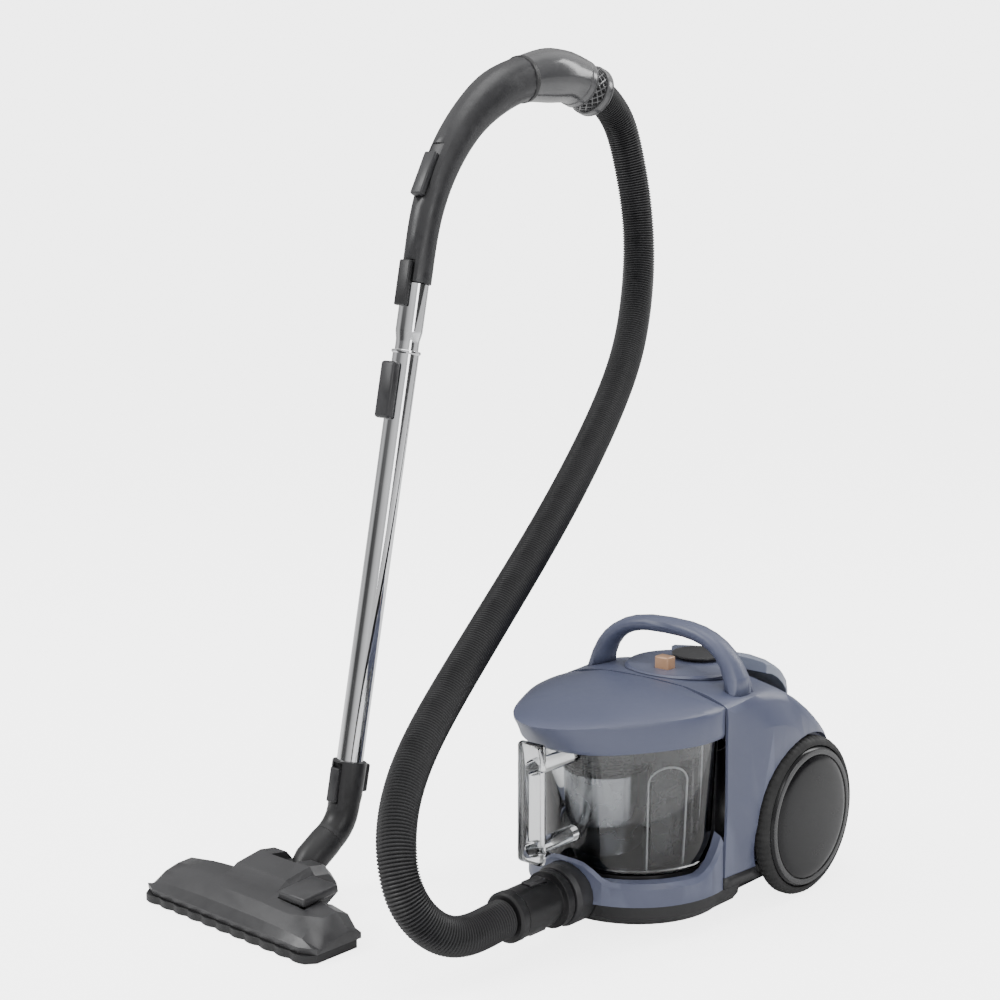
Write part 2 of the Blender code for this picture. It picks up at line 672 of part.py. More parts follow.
def build_container():
    """Clear D-shaped container with its grip, inner parts, seal, lid and lid latch."""
    rings = []
    for radius, z in ((BIN_FOOT_RADIUS - 0.004, BIN_FLOOR_Z), (BIN_FOOT_RADIUS, BIN_FLOOR_Z + 0.004),
                      (0.5 * (BIN_FOOT_RADIUS + BIN_TOP_RADIUS), 0.130), (BIN_TOP_RADIUS, BIN_TOP_Z)):
        rings.append([(x, y, z) for x, y in reversed(d_outline(radius, BIN_BACK_Y))])
    clear = loft("dust_bin", rings, CLEAR, cap_last=False)
    thicken(clear, BIN_WALL)

    grip = box("bin_grip", (0.0320, 0.0100, 0.1200), CLEAR, location=(0.0, -0.1550, 0.1455),
               round_by=0.0045, round_steps=3)
    for post_z in (0.1000, 0.1800):
        post = rod("grip_post_%d" % round(1000 * post_z), 0.0080, 0.0600,
                   location=(0.0, -0.1230, post_z), rotation=(math.pi / 2.0, 0.0, 0.0), segments=16,
                   cutter=True)
        join(grip, post)
    outer = []
    for radius, z in ((BIN_FOOT_RADIUS + GAP, 0.0500), (BIN_FOOT_RADIUS + GAP, BIN_FLOOR_Z + 0.004),
                      (BIN_TOP_RADIUS + GAP, BIN_TOP_Z)):
        outer.append([(x, y, z) for x, y in reversed(d_outline(radius, BIN_BACK_Y))])
    cut(grip, loft("grip_seat", outer, None, cutter=True))

    box("bin_back", (0.1640, 0.0040, 0.1260), PANEL_GREY, location=(0.0, 0.0065, 0.1320), round_by=0.0)
    turned("cyclone", ((0.0, 0.1260), (0.0440, 0.1260), (0.0440, 0.0400), (0.0400, 0.0340),
                       (0.0400, 0.0060), (0.0300, 0.0), (0.0, 0.0)), SILVER,
           location=(0.0, -0.0420, 0.0645), segments=32)

    strip = []
    for z in (BIN_TOP_Z + GAP, BIN_TOP_Z + 0.0035):
        strip.append([(x, y, z) for x, y in reversed(d_outline(BIN_TOP_RADIUS, BIN_BACK_Y, steps=28))])
    seal = loft("lid_seal", strip, RUBBER, cap_first=False, cap_last=False)
    thicken(seal, 0.0022)

    lid = lid_form("bin_lid", 1.0, 0.0, 0.0)
    cut(lid, lid_form("lid_hollow", 0.976, LID_WALL, 0.030))
    cut(lid, box("hinge_relief", (0.1980, 0.0300, 0.0300), location=(0.0, 0.0180, 0.1890), cutter=True))
    box("lid_latch", (0.0300, 0.0120, 0.0060), BLACK, location=(0.0, -0.1180, 0.1965),
        round_by=0.0012, round_steps=1)


# ---- canister: wheels ---------------------------------------------------------------------------
def build_rear_wheel(side, word):
    """Large wheel: domed cover disc with the hub bore, and the tyre round it."""
    axle_at = (side * WELL_INNER_X, *WHEEL_CENTRE[1:])
    face_out = (0.0, side * math.pi / 2.0, 0.0)
    start = WHEEL_INNER_X - WELL_INNER_X
    end = WHEEL_OUTER_X - WELL_INNER_X
    rim = 0.0740
    turned("wheel_" + word, ((0.0, end + 0.0060), (0.0300, end + 0.0055), (0.0560, end + 0.0040),
                             (0.0690, end + 0.0012), (0.0725, end + 0.0005), (rim, end - 0.0020),
                             (rim, start + 0.003), (0.0665, start + 0.003), (0.0645, start + 0.012),
                             (0.0120, start + 0.012), (0.0120, start), (0.0043, start),
                             (0.0043, end - 0.0060), (0.0, end - 0.0060)), GREY, location=axle_at,
           rotation=face_out, segments=36)
    turned("tyre_" + word, ((rim + GAP, end - 0.0010), (0.0770, end - 0.0002), (0.0795, end - 0.0030),
                            (WHEEL_RADIUS, end - 0.0075), (WHEEL_RADIUS, start + 0.0040),
                            (0.0785, start), (rim + GAP, start)), RUBBER, location=axle_at,
           rotation=face_out, segments=36, closed=True)
    turned("axle_" + word, ((0.0, end - 0.0075), (0.0040, end - 0.0075), (0.0040, start - 0.0010),
                            (0.0110, start - 0.0010), (0.0110, GAP), (0.0, GAP)), STEEL,
           location=axle_at, rotation=face_out)


def build_caster():
    """Small front caster: swivelling yoke with its stem, pin and wheel."""
    stem = make_empty("caster_stem_axis", (0.0, -0.048, 0.0), parent=ROOT)
    yoke = turned("caster_yoke", ((0.0, 0.0460), (0.0040, 0.0460), (0.0040, 0.0330), (0.0180, 0.0320),
                                  (0.0180, 0.0280), (0.0, 0.0280)), GREY, parent=stem)
    pin_at = (0.0, 0.0040, 0.0120)
    across = (0.0, math.pi / 2.0, 0.0)
    for side in (1.0, -1.0):
        arm = box("caster_arm_%d" % int(side), (0.0030, 0.0120, 0.0240), parent=stem,
                  location=(side * 0.0090, 0.0040, 0.0180), cutter=True)
        join(yoke, arm)
    cut(yoke, rod("caster_pin_hole", 0.0021, 0.040, parent=stem, location=pin_at, rotation=across,
                  segments=12, cutter=True))
    rod("caster_pin", 0.0018, 0.0220, STEEL, parent=stem, location=pin_at, rotation=across, segments=12)
    turned("caster_wheel", ((0.0022, 0.0065), (0.0105, 0.0065), (0.0120, 0.0045), (0.0120, -0.0045),
                            (0.0105, -0.0065), (0.0022, -0.0065)), RUBBER, parent=stem,
           location=pin_at, rotation=across, closed=True)


# ---- hose ---------------------------------------------------------------------------------------
def build_inlet():
    """Hose socket on the canister, the plug-in cuff with its two latches, and the swivel ring."""
    turned("inlet_housing", ((0.0, 0.0120), (0.0250, 0.0120), (0.0250, 0.0210), (0.0290, 0.0200),
                             (0.0312, 0.0150), (0.0312, -0.0088), (0.0, -0.0088)), GREY,
           parent=INLET_AXIS, segments=28)
    cuff = turned("hose_cuff", ((0.0, 0.0830), (0.0242, 0.0830), (0.0245, 0.0560), (0.0225, 0.0330),
                                (0.0285, 0.0320), (0.0285, 0.0230), (0.0240, 0.0215),
                                (0.0235, 0.0123), (0.0, 0.0123)), BLACK, parent=INLET_AXIS,
                  segments=28)
    for sign, word in ((1.0, "top"), (-1.0, "bottom")):
        at = (0.0, sign * 0.0242, 0.0520)
        cut(cuff, box("latch_pocket_" + word, (0.0136, 0.0080, 0.0246), parent=INLET_AXIS,
                      location=at, cutter=True))
        box("cuff_latch_" + word, (0.0128, 0.0046, 0.0238), GREY, parent=INLET_AXIS, location=at,
            round_by=0.0010, round_steps=1)
    turned("hose_swivel_ring", ((0.0, 0.0950), (0.0225, 0.0950), (0.0250, 0.0930), (0.0250, 0.0850),
                                (0.0240, 0.0833), (0.0, 0.0833)), BLACK, parent=INLET_AXIS,
           segments=28)


def build_hose():
    """Suction hose: one tube along its route, face to face with the cuffs at both ends."""
    curve = bpy.data.curves.new("hose", "CURVE")
    curve.dimensions = "3D"
    curve.bevel_depth = HOSE_DIAMETER / 2.0
    curve.bevel_resolution = 3
    curve.use_fill_caps = True
    line = curve.splines.new("POLY")
    first = np.array(HOSE_ROUTE[0])
    last = np.array(HOSE_ROUTE[-1])
    leads = (first + np.array((0.0, -HOSE_LEAD, 0.0)), last + HOSE_LEAD * np.array(HANDLE_EXIT))
    middle = natural_spline((first, leads[0], *HOSE_ROUTE[1:-1], leads[1], last), HOSE_POINTS)[1:-1]
    points = (first, leads[0], *middle, leads[1], last)
    line.points.add(len(points) - 1)
    for knot, point in zip(line.points, points):
        knot.co = (*point, 1.0)
    curve.materials.append(HOSE_SKIN)
    hose = bpy.data.objects.new("hose", curve)
    hose.parent = ROOT
    PARTS.objects.link(hose)


# ---- handle -------------------------------------------------------------------------------------
def build_handle():
    """Curved grip, glossy bend tube, swivel cuff, air slider and the latch to the wand."""
    fine = natural_spline(HANDLE_PATH, 41)
    end = Vector((WAND_X, *map(float, fine[-1][:2])))
    straight = end - 0.006 * Vector(HANDLE_EXIT)
    fine = np.vstack([fine[:-2], [*straight[1:], fine[-1][2]], fine[-1]])
    joint_y = 0.1180

    def stations(first_y, last_y):
        kept = [p for p in fine if first_y < p[0] < last_y]
        for edge in (first_y, last_y):
            row = [edge] + [float(np.interp(edge, fine[:, 0], fine[:, k])) for k in (1, 2)]
            kept.append(np.array(row))
        kept.sort(key=lambda p: p[0])
        kept = [p for i, p in enumerate(kept) if i == 0 or p[0] - kept[i - 1][0] > 0.0006]
        return [(WAND_X, *map(float, p)) for p in kept]

    grip = swept("handle_grip", stations(fine[0][0], joint_y - GAP), GREY)
    swept("handle_tube", stations(joint_y, fine[-1][0]), MID_GREY)
    far = SWIVEL_LENGTH
    turned("handle_swivel", ((0.0, far), (0.0275, far), (0.0290, far - 0.0030), (0.0290, far - 0.0090),
                             (0.0265, far - 0.0100), (0.0265, 0.0120), (0.0285, 0.0110),
                             (0.0285, GAP), (0.0, GAP)), MID_GREY, parent=SWIVEL_FRAME, segments=28)

    slider_room = box("air_slider_room", (0.0172, 0.0200, 0.0640), parent=AIR_SLIDER_FRAME,
                      location=(0.0, -0.0250, 0.0), cutter=True)
    cut(grip, slider_room)
    box("air_slider", (0.0164, 0.0080, 0.0500), GREY, parent=AIR_SLIDER_FRAME,
        location=(0.0, -0.0193, -0.0060), round_by=0.0020)
    latch_room = box("handle_latch_room", (0.0172, 0.0180, 0.0240), parent=WAND,
                     location=(0.0, -0.0220, SOCKET_TOP_S + 0.0110), cutter=True)
    cut(grip, latch_room)
    box("handle_latch", (0.0160, 0.0060, 0.0480), BLACK, parent=WAND,
        location=(0.0, -0.0180, SOCKET_TOP_S - 0.0020), round_by=0.0015)


# ---- wand ---------------------------------------------------------------------------------------
def build_tubes():
    """Two telescoping chrome tubes and the release slider between them."""
    bore = INNER_TUBE_RADIUS - TUBE_WALL
    socket = OUTER_TUBE_RADIUS + 0.0003
    turned("upper_tube", ((bore, SOCKET_TOP_S), (socket, SOCKET_TOP_S), (socket, 0.5200),
                          (INNER_TUBE_RADIUS, 0.5100), (INNER_TUBE_RADIUS, 0.1000), (bore, 0.1000)),
           CHROME, parent=WAND, closed=True)
    inside = OUTER_TUBE_RADIUS - TUBE_WALL
    top = OUTER_TUBE_TOP_S
    turned("lower_tube", ((inside, top), (0.0156, top), (0.0156, top - 0.0030),
                          (OUTER_TUBE_RADIUS, top - 0.0040), (OUTER_TUBE_RADIUS, TUBE_FOOT_S),
                          (inside, TUBE_FOOT_S)), CHROME, parent=WAND, closed=True)
    box("height_slider", (0.0200, 0.0110, 0.0600), GREY, parent=WAND,
        location=(0.0, -OUTER_TUBE_RADIUS - 0.0062, 0.4560), round_by=0.0030)


def build_elbow():
    """Black collar on the foot of the wand that bends into the swivelling neck."""
    tube_axis = Vector((0.0, math.sin(WAND_LEAN), math.cos(WAND_LEAN)))
    bend = Vector(ELBOW)
    neck_axis = (Vector(NECK_PIVOT) - bend).normalized()
    stations = []
    for s, radius in ((0.0660, 0.0180), (0.0640, 0.0184), (0.0300, 0.0180), (0.0230, 0.0172)):
        stations.append((*(bend + tube_axis * s), radius))
    start = bend + tube_axis * 0.0180
    end = bend + neck_axis * 0.0180
    for i in range(5):
        t = (i + 0.5) / 5.0
        point = start * (1 - t) ** 2 + bend * 2 * t * (1 - t) + end * t ** 2
        stations.append((*point, 0.0168))
    for reach in (0.0185, 0.0210):
        stations.append((*(bend + neck_axis * reach), 0.0168))
    elbow = swept("wand_elbow", stations, BLACK)
    cut(elbow, rod("tube_bore", OUTER_TUBE_RADIUS + GAP, 0.0600, parent=WAND,
                   location=(0.0, 0.0, TUBE_FOOT_S + 0.0295), cutter=True))
    cut(elbow, box("collar_latch_room", (0.0136, 0.0100, 0.0420), parent=WAND,
                   location=(0.0, -0.0200, 0.0430), cutter=True))
    box("collar_latch", (0.0128, 0.0058, 0.0360), GREY, parent=WAND, location=(0.0, -0.0182, 0.0405),
        round_by=0.0012)
    box("parking_hook", (0.0120, 0.0080, 0.0300), BLACK, parent=WAND, location=(0.0, 0.0224, 0.0480),
        round_by=0.0020)


def build_nozzle():
    """Floor nozzle: neck, head shell, soleplate, bristle strip, floor pedal and rollers."""
    pivot = Vector(NECK_PIVOT)
    toward = (Vector(NECK_PIVOT) - Vector(ELBOW)).normalized()
    start = Vector(ELBOW) + toward * (0.0210 + GAP)
    stations = []
    for share, radius in ((0.0, 0.0168), (0.12, 0.0174), (0.62, 0.0174), (0.80, 0.0150), (0.97, 0.0110)):
        stations.append((*(start.lerp(pivot, share)), radius))
    neck = swept("nozzle_neck", stations, BLACK)
    across = (0.0, math.pi / 2.0, 0.0)
    join(neck, rod("neck_barrel", 0.0135, 0.0340, location=NECK_PIVOT, rotation=across, cutter=True))
    cut(neck, rod("neck_bore", 0.0034, 0.0600, location=NECK_PIVOT, rotation=across, cutter=True))
    rod("neck_pin", 0.0030, 0.0500, STEEL, location=NECK_PIVOT, rotation=across, segments=16)

    rings = []
    half = NOZZLE_LENGTH / 2.0
    floor = SOLE_THICKNESS + GAP
    for share in (-1.0, -0.97, -0.86, -0.6, -0.3, 0.0, 0.3, 0.6, 0.86, 0.97, 1.0):
        away = abs(share)
        height = 0.0400 - 0.0100 * away ** 3 - 0.0110 * max(0.0, away - 0.86) / 0.14
        depth = 0.0760 - 0.0060 * away ** 2 - 0.0120 * max(0.0, away - 0.86) / 0.14
        front = NOZZLE_FRONT_Y + 0.0030 + 0.0080 * max(0.0, away - 0.86) / 0.14
        x = WAND_X + half * share
        rings.append([
            (x, front + 0.0010, floor),
            (x, front, floor + 0.0060),
            (x, front + 0.0060, 0.62 * height),
            (x, front + 0.0180, 0.88 * height),
            (x, front + 0.0340, height),
            (x, front + 0.72 * depth, height + 0.001),
            (x, front + 0.92 * depth, 0.84 * height),
            (x, front + depth, floor + 0.0060),
            (x, front + depth, floor),
        ])
    for ring in rings:
        ring.reverse()
    head = loft("nozzle_shell", rings, GREY)
    hump_rings = []
    for share in (-1.0, -0.82, 0.0, 0.82, 1.0):
        x = WAND_X + 0.0460 * share
        low = 0.008 * max(0.0, abs(share) - 0.82) / 0.18
        hump_rings.append([
            (x, -0.2980, 0.0320),
            (x, -0.2760, 0.0475 - low),
            (x, -0.2450, 0.0530 - low),
            (x, -0.2260, 0.0500 - low),
            (x, -0.2160, 0.0380 - low),
            (x, -0.2140, 0.0200),
            (x, -0.2300, floor + 0.0020),
            (x, -0.2700, floor + 0.0020),
        ])
    for ring in hump_rings:
        ring.reverse()
    join(head, loft("nozzle_hump", hump_rings, None, cutter=True))
    cut(head, box("neck_recess", (0.0368, 0.0600, 0.1200), location=(WAND_X, -0.2164, 0.0300),
                  cutter=True))
    cut(head, rod("pin_hole", 0.0033, 0.0520, location=NECK_PIVOT, rotation=across, segments=16,
                  cutter=True))
    pedal_at = (WAND_X + 0.0680, -0.2740, 0.0420)
    cut(head, box("pedal_room", (0.0388, 0.0468, 0.0260), location=pedal_at, cutter=True))
    box("brush_pedal", (0.0380, 0.0460, 0.0090), GREY, parent=PEDAL_TILT,
        location=(0.0, -0.0225, 0.0030), rotation=(math.radians(4.0), 0.0, 0.0), round_by=0.0020)
    strip_y = NOZZLE_FRONT_Y + 0.0180
    cut(head, box("strip_room", (0.2120, 0.0084, 0.0400), location=(WAND_X, strip_y, 0.0),
                  cutter=True))
    box("bristle_strip", (0.2100, 0.0060, 0.0140), BRISTLE, location=(WAND_X, strip_y, 0.0085))
    for side, word in ((1.0, "left"), (-1.0, "right")):
        at = (WAND_X + side * 0.0320, -0.2290, 0.0080)
        cut(head, box("roller_room_" + word, (0.0120, 0.0190, 0.0400), location=(at[0], at[1], 0.0),
                      cutter=True))
        turned("roller_" + word, ((0.0, 0.0055), (0.0040, 0.0050), (0.0080, 0.0045), (0.0080, -0.0045),
                                  (0.0040, -0.0050), (0.0, -0.0055)), RUBBER, location=at,
               rotation=across, segments=20)

    outline = []
    scallops = 11
    pitch = (NOZZLE_LENGTH - 0.0160) / scallops
    left_x = WAND_X - half + 0.0080
    for i in range(scallops):
        for k in range(4):
            share = k / 4.0
            out = 0.0026 * math.sin(math.pi * share)
            outline.append((left_x + pitch * (i + share), NOZZLE_FRONT_Y + 0.0026 - out))
    outline.append((WAND_X + half - 0.0080, NOZZLE_FRONT_Y + 0.0026))
    outline.append((WAND_X + half - 0.0005, NOZZLE_FRONT_Y + 0.0120))
    outline.append((WAND_X + half - 0.0005, NOZZLE_FRONT_Y + 0.0640))
    outline.append((WAND_X - half + 0.0005, NOZZLE_FRONT_Y + 0.0640))
    outline.append((WAND_X - half + 0.0005, NOZZLE_FRONT_Y + 0.0120))
    low = [(x, y, 0.0) for x, y in outline]
    high = [(x, y, SOLE_THICKNESS) for x, y in outline]
    sole = loft("soleplate", (low, high), BLACK)
    cut(sole, box("strip_slot", (0.2120, 0.0084, 0.0400), location=(WAND_X, strip_y, 0.0),
                  cutter=True))


# ---- assembly -----------------------------------------------------------------------------------
INLET_AXIS = make_empty("inlet_axis", INLET, (math.pi / 2.0, 0.0, 0.0), ROOT)
WAND = make_empty("wand_axis", ELBOW, (-WAND_LEAN, 0.0, 0.0), ROOT)
AIR_SLIDER_FRAME = make_empty("air_slider_frame", (WAND_X, -0.0150, 0.7390),
                              (-math.radians(28.0), 0.0, 0.0), ROOT)
SWIVEL_FRAME = make_empty("swivel_frame", (WAND_X, *HANDLE_PATH[-1][:2]),
                          (-math.atan2(HANDLE_EXIT[1], HANDLE_EXIT[2]), 0.0, 0.0), ROOT)
PEDAL_TILT = make_empty("pedal_hinge", (WAND_X + 0.0680, -0.2515, 0.0400), parent=ROOT)

build_base_pan()
build_skirt()
build_body_shell()
build_bulkhead()
build_carry_handle()
build_controls()
build_rear()
build_motor_room()
build_container()
build_rear_wheel(1.0, "left")
build_rear_wheel(-1.0, "right")
build_caster()
build_inlet()
build_hose()
build_handle()
build_tubes()
build_elbow()
build_nozzle()
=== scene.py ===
import math

import bmesh
import bpy
import numpy as np
from mathutils import Matrix, Vector


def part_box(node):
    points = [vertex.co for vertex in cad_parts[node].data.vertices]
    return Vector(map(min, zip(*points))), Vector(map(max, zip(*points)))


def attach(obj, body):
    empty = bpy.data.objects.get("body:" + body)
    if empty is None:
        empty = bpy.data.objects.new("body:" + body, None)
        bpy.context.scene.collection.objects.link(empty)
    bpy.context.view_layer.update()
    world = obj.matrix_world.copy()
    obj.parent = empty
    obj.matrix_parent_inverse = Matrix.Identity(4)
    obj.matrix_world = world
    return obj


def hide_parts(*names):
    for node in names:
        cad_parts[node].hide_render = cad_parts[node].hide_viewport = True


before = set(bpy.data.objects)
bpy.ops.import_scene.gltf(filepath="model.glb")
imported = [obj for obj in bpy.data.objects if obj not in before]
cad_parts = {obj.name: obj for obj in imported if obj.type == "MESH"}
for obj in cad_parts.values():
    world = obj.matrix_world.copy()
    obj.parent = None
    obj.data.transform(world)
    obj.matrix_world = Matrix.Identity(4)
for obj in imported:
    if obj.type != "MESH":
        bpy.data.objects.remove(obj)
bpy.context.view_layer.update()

# ---- camera, light and floor ---------------------------------------------------------------------
# A plain white sweep of floor under an even, bright studio: one broad soft light over the left
# shoulder of the camera, a weaker one at the right, a long strip behind for the edges and a panel
# overhead.  Sizes in this script are measured from CENTRE, the floor under the dust container.
CENTRE = Vector((0.1290, 0.0386, 0.0))
OPEN_WHITE = 4.4
FLOOR_RADIUS = 14.0
FLOOR_DROP = 0.0004
FLOOR_GLOW = 3.6
LIGHT_AIM_HEIGHT = 0.25

camera_data = bpy.data.cameras.new("studio_camera")
camera_data.lens = 64.8
camera_data.sensor_width = 36.0
studio_camera = bpy.data.objects.new("studio_camera", camera_data)
studio_camera.location = Vector((1.0823, -1.4022, 0.70)) + CENTRE
studio_camera.rotation_euler = (math.radians(81.0), 0.0, math.radians(42.0))
bpy.context.scene.collection.objects.link(studio_camera)
bpy.context.scene.camera = studio_camera

LIGHTS = (
    ("key_softbox", (-1.30, -1.90, 2.10), (1.30, 1.30), 44.0),
    ("fill_softbox", (2.40, -0.60, 1.10), (0.70, 1.60), 15.0),
    ("back_strip", (0.90, 2.10, 1.70), (0.50, 1.80), 24.0),
    ("top_panel", (0.00, 0.10, 2.40), (1.20, 1.20), 14.0),
)
for name, place, size, watts in LIGHTS:
    lamp = bpy.data.lights.new(name, "AREA")
    lamp.shape = "RECTANGLE"
    lamp.size = size[0]
    lamp.size_y = size[1]
    lamp.energy = watts
    holder = bpy.data.objects.new(name, lamp)
    holder.location = place
    aim = Vector((0.0, 0.0, LIGHT_AIM_HEIGHT)) - Vector(place)
    holder.rotation_euler = aim.to_track_quat("-Z", "Y").to_euler()
    bpy.context.scene.collection.objects.link(holder)

# The walls of the studio are hung with pale and dark cloths in turn, which the bright metal mirrors.
world = bpy.data.worlds.new("studio")
world.use_nodes = True
studio_tree = world.node_tree
studio_light = studio_tree.nodes["Background"]
studio_light.inputs["Color"].default_value = (1.0, 1.0, 1.0, 1.0)
facing = studio_tree.nodes.new("ShaderNodeTexCoord")
parts = studio_tree.nodes.new("ShaderNodeSeparateXYZ")
around = studio_tree.nodes.new("ShaderNodeMath")
around.operation = "ARCTAN2"
turn = studio_tree.nodes.new("ShaderNodeMapRange")
turn.inputs["From Min"].default_value = -math.pi
turn.inputs["From Max"].default_value = math.pi
cloths = studio_tree.nodes.new("ShaderNodeValToRGB")
bands = ((0.00, 0.50), (0.10, 0.70), (0.16, 0.08), (0.24, 0.10), (0.30, 0.60), (0.38, 0.90), (0.46, 0.70),
         (0.50, 0.10), (0.57, 0.06), (0.66, 0.05), (0.71, 0.75), (0.78, 0.65), (0.83, 0.12), (0.90, 0.15),
         (0.95, 0.50))
while len(cloths.color_ramp.elements) < len(bands):
    cloths.color_ramp.elements.new(0.5)
for stop, (at, level) in zip(cloths.color_ramp.elements, bands):
    stop.position = at
    stop.color = (level, level, level, 1.0)
ceiling = studio_tree.nodes.new("ShaderNodeMapRange")
ceiling.inputs["From Min"].default_value = 0.15
ceiling.inputs["From Max"].default_value = 0.80
ceiling.inputs["To Min"].default_value = 0.0
ceiling.inputs["To Max"].default_value = 0.65
raised = studio_tree.nodes.new("ShaderNodeMath")
raised.operation = "ADD"
seen = studio_tree.nodes.new("ShaderNodeLightPath")
open_white = studio_tree.nodes.new("ShaderNodeMix")
open_white.data_type = "FLOAT"
open_white.inputs["B"].default_value = OPEN_WHITE
link = studio_tree.links.new
link(facing.outputs["Generated"], parts.inputs["Vector"])
link(parts.outputs["Y"], around.inputs[0])
link(parts.outputs["X"], around.inputs[1])
link(around.outputs["Value"], turn.inputs["Value"])
link(turn.outputs["Result"], cloths.inputs["Fac"])
link(parts.outputs["Z"], ceiling.inputs["Value"])
link(cloths.outputs["Color"], raised.inputs[0])
link(ceiling.outputs["Result"], raised.inputs[1])
link(raised.outputs["Value"], open_white.inputs["A"])
link(seen.outputs["Is Camera Ray"], open_white.inputs["Factor"])
link(open_white.outputs["Result"], studio_light.inputs["Strength"])
bpy.context.scene.world = world

floor_mesh = bpy.data.meshes.new("studio_floor")
floor_form = bmesh.new()
bmesh.ops.create_circle(floor_form, cap_ends=True, segments=96, radius=FLOOR_RADIUS)
floor_form.to_mesh(floor_mesh)
floor_form.free()
studio_floor = bpy.data.objects.new("studio_floor", floor_mesh)
studio_floor.location = (0.0, 0.0, -FLOOR_DROP)
floor_paint = bpy.data.materials.new("floor_paint")
floor_paint.use_nodes = True
floor_tree = floor_paint.node_tree
floor_shader = floor_tree.nodes["Principled BSDF"]
floor_shader.inputs["Roughness"].default_value = 0.85
floor_shader.inputs["Specular IOR Level"].default_value = 0.15
floor_noise = floor_tree.nodes.new("ShaderNodeTexNoise")
floor_noise.inputs["Scale"].default_value = 3.0
floor_ramp = floor_tree.nodes.new("ShaderNodeValToRGB")
floor_ramp.color_ramp.elements[0].color = (0.90, 0.90, 0.90, 1.0)
floor_ramp.color_ramp.elements[1].color = (0.93, 0.93, 0.93, 1.0)
floor_tree.links.new(floor_noise.outputs["Fac"], floor_ramp.inputs["Fac"])
floor_tree.links.new(floor_ramp.outputs["Color"], floor_shader.inputs["Base Color"])
floor_seen = floor_tree.nodes.new("ShaderNodeLightPath")
floor_glow = floor_tree.nodes.new("ShaderNodeMath")
floor_glow.operation = "MULTIPLY"
floor_glow.inputs[1].default_value = FLOOR_GLOW
floor_shader.inputs["Emission Color"].default_value = (1.0, 1.0, 1.0, 1.0)
floor_tree.links.new(floor_seen.outputs["Is Camera Ray"], floor_glow.inputs[0])
floor_tree.links.new(floor_glow.outputs["Value"], floor_shader.inputs["Emission Strength"])
floor_mesh.materials.append(floor_paint)
bpy.context.scene.collection.objects.link(studio_floor)


# ---- suction hose --------------------------------------------------------------------------------
# A blown tube of soft black plastic with a round rib every 3 mm, so that it bends without closing.
# It is screwed into the swivel ring at the canister and into the swivel cuff under the handle.
HOSE_ROUTE = (
    (0.0000, -0.1953, 0.0420),
    (0.0000, -0.2320, 0.0405),
    (-0.0035, -0.2640, 0.0445),
    (-0.0120, -0.2890, 0.0620),
    (-0.0235, -0.3030, 0.0910),
    (-0.0380, -0.2990, 0.1270),
    (-0.0560, -0.2760, 0.1620),
    (-0.0760, -0.2340, 0.1960),
    (-0.0970, -0.1760, 0.2300),
    (-0.1150, -0.1140, 0.2660),
    (-0.1320, -0.0480, 0.3060),
    (-0.1480, 0.0160, 0.3460),
    (-0.1660, 0.0840, 0.3900),
    (-0.1870, 0.1550, 0.4380),
    (-0.2060, 0.2200, 0.4900),
    (-0.2230, 0.2720, 0.5440),
    (-0.2360, 0.3040, 0.6020),
    (-0.2440, 0.3180, 0.6600),
    (-0.2485, 0.3165, 0.7160),
    (-0.2520, 0.3055, 0.7680),
    (-0.2545, 0.2860, 0.8120),
    (-0.2550, 0.2463, 0.8384),
)
HANDLE_EXIT = Vector((0.0, 0.9563, -0.2924))
HOSE_LEAD = 0.010
HOSE_CREST = 0.0191
HOSE_VALLEY = 0.0175
RIB_PITCH = 0.0031


def natural_spline(points, count):
    """Points at even steps along a natural cubic spline through the given ones."""
    knots = np.array(points, dtype=float)
    steps = np.sqrt(np.linalg.norm(np.diff(knots, axis=0), axis=1))
    along = np.concatenate(([0.0], np.cumsum(steps)))
    size = len(knots)
    matrix = np.eye(size)
    target = np.zeros_like(knots)
    for i in range(1, size - 1):
        matrix[i, i - 1] = steps[i - 1]
        matrix[i, i] = 2.0 * (steps[i - 1] + steps[i])
        matrix[i, i + 1] = steps[i]
        rise = (knots[i + 1] - knots[i]) / steps[i]
        fall = (knots[i] - knots[i - 1]) / steps[i - 1]
        target[i] = 6.0 * (rise - fall)
    bend = np.linalg.solve(matrix, target)
    fine = []
    for at in np.linspace(0.0, along[-1], 40 * size):
        i = min(int(np.searchsorted(along, at, side="right")) - 1, size - 2)
        before = at - along[i]
        after = along[i + 1] - at
        step = steps[i]
        curve = (bend[i] * after ** 3 + bend[i + 1] * before ** 3) / (6.0 * step)
        line = (knots[i] / step - bend[i] * step / 6.0) * after
        line = line + (knots[i + 1] / step - bend[i + 1] * step / 6.0) * before
        fine.append(curve + line)
    fine = np.array(fine)
    length = np.concatenate(([0.0], np.cumsum(np.linalg.norm(np.diff(fine, axis=0), axis=1))))
    wanted = np.linspace(0.0, length[-1], count)
    return np.stack([np.interp(wanted, length, fine[:, k]) for k in range(3)], axis=1)


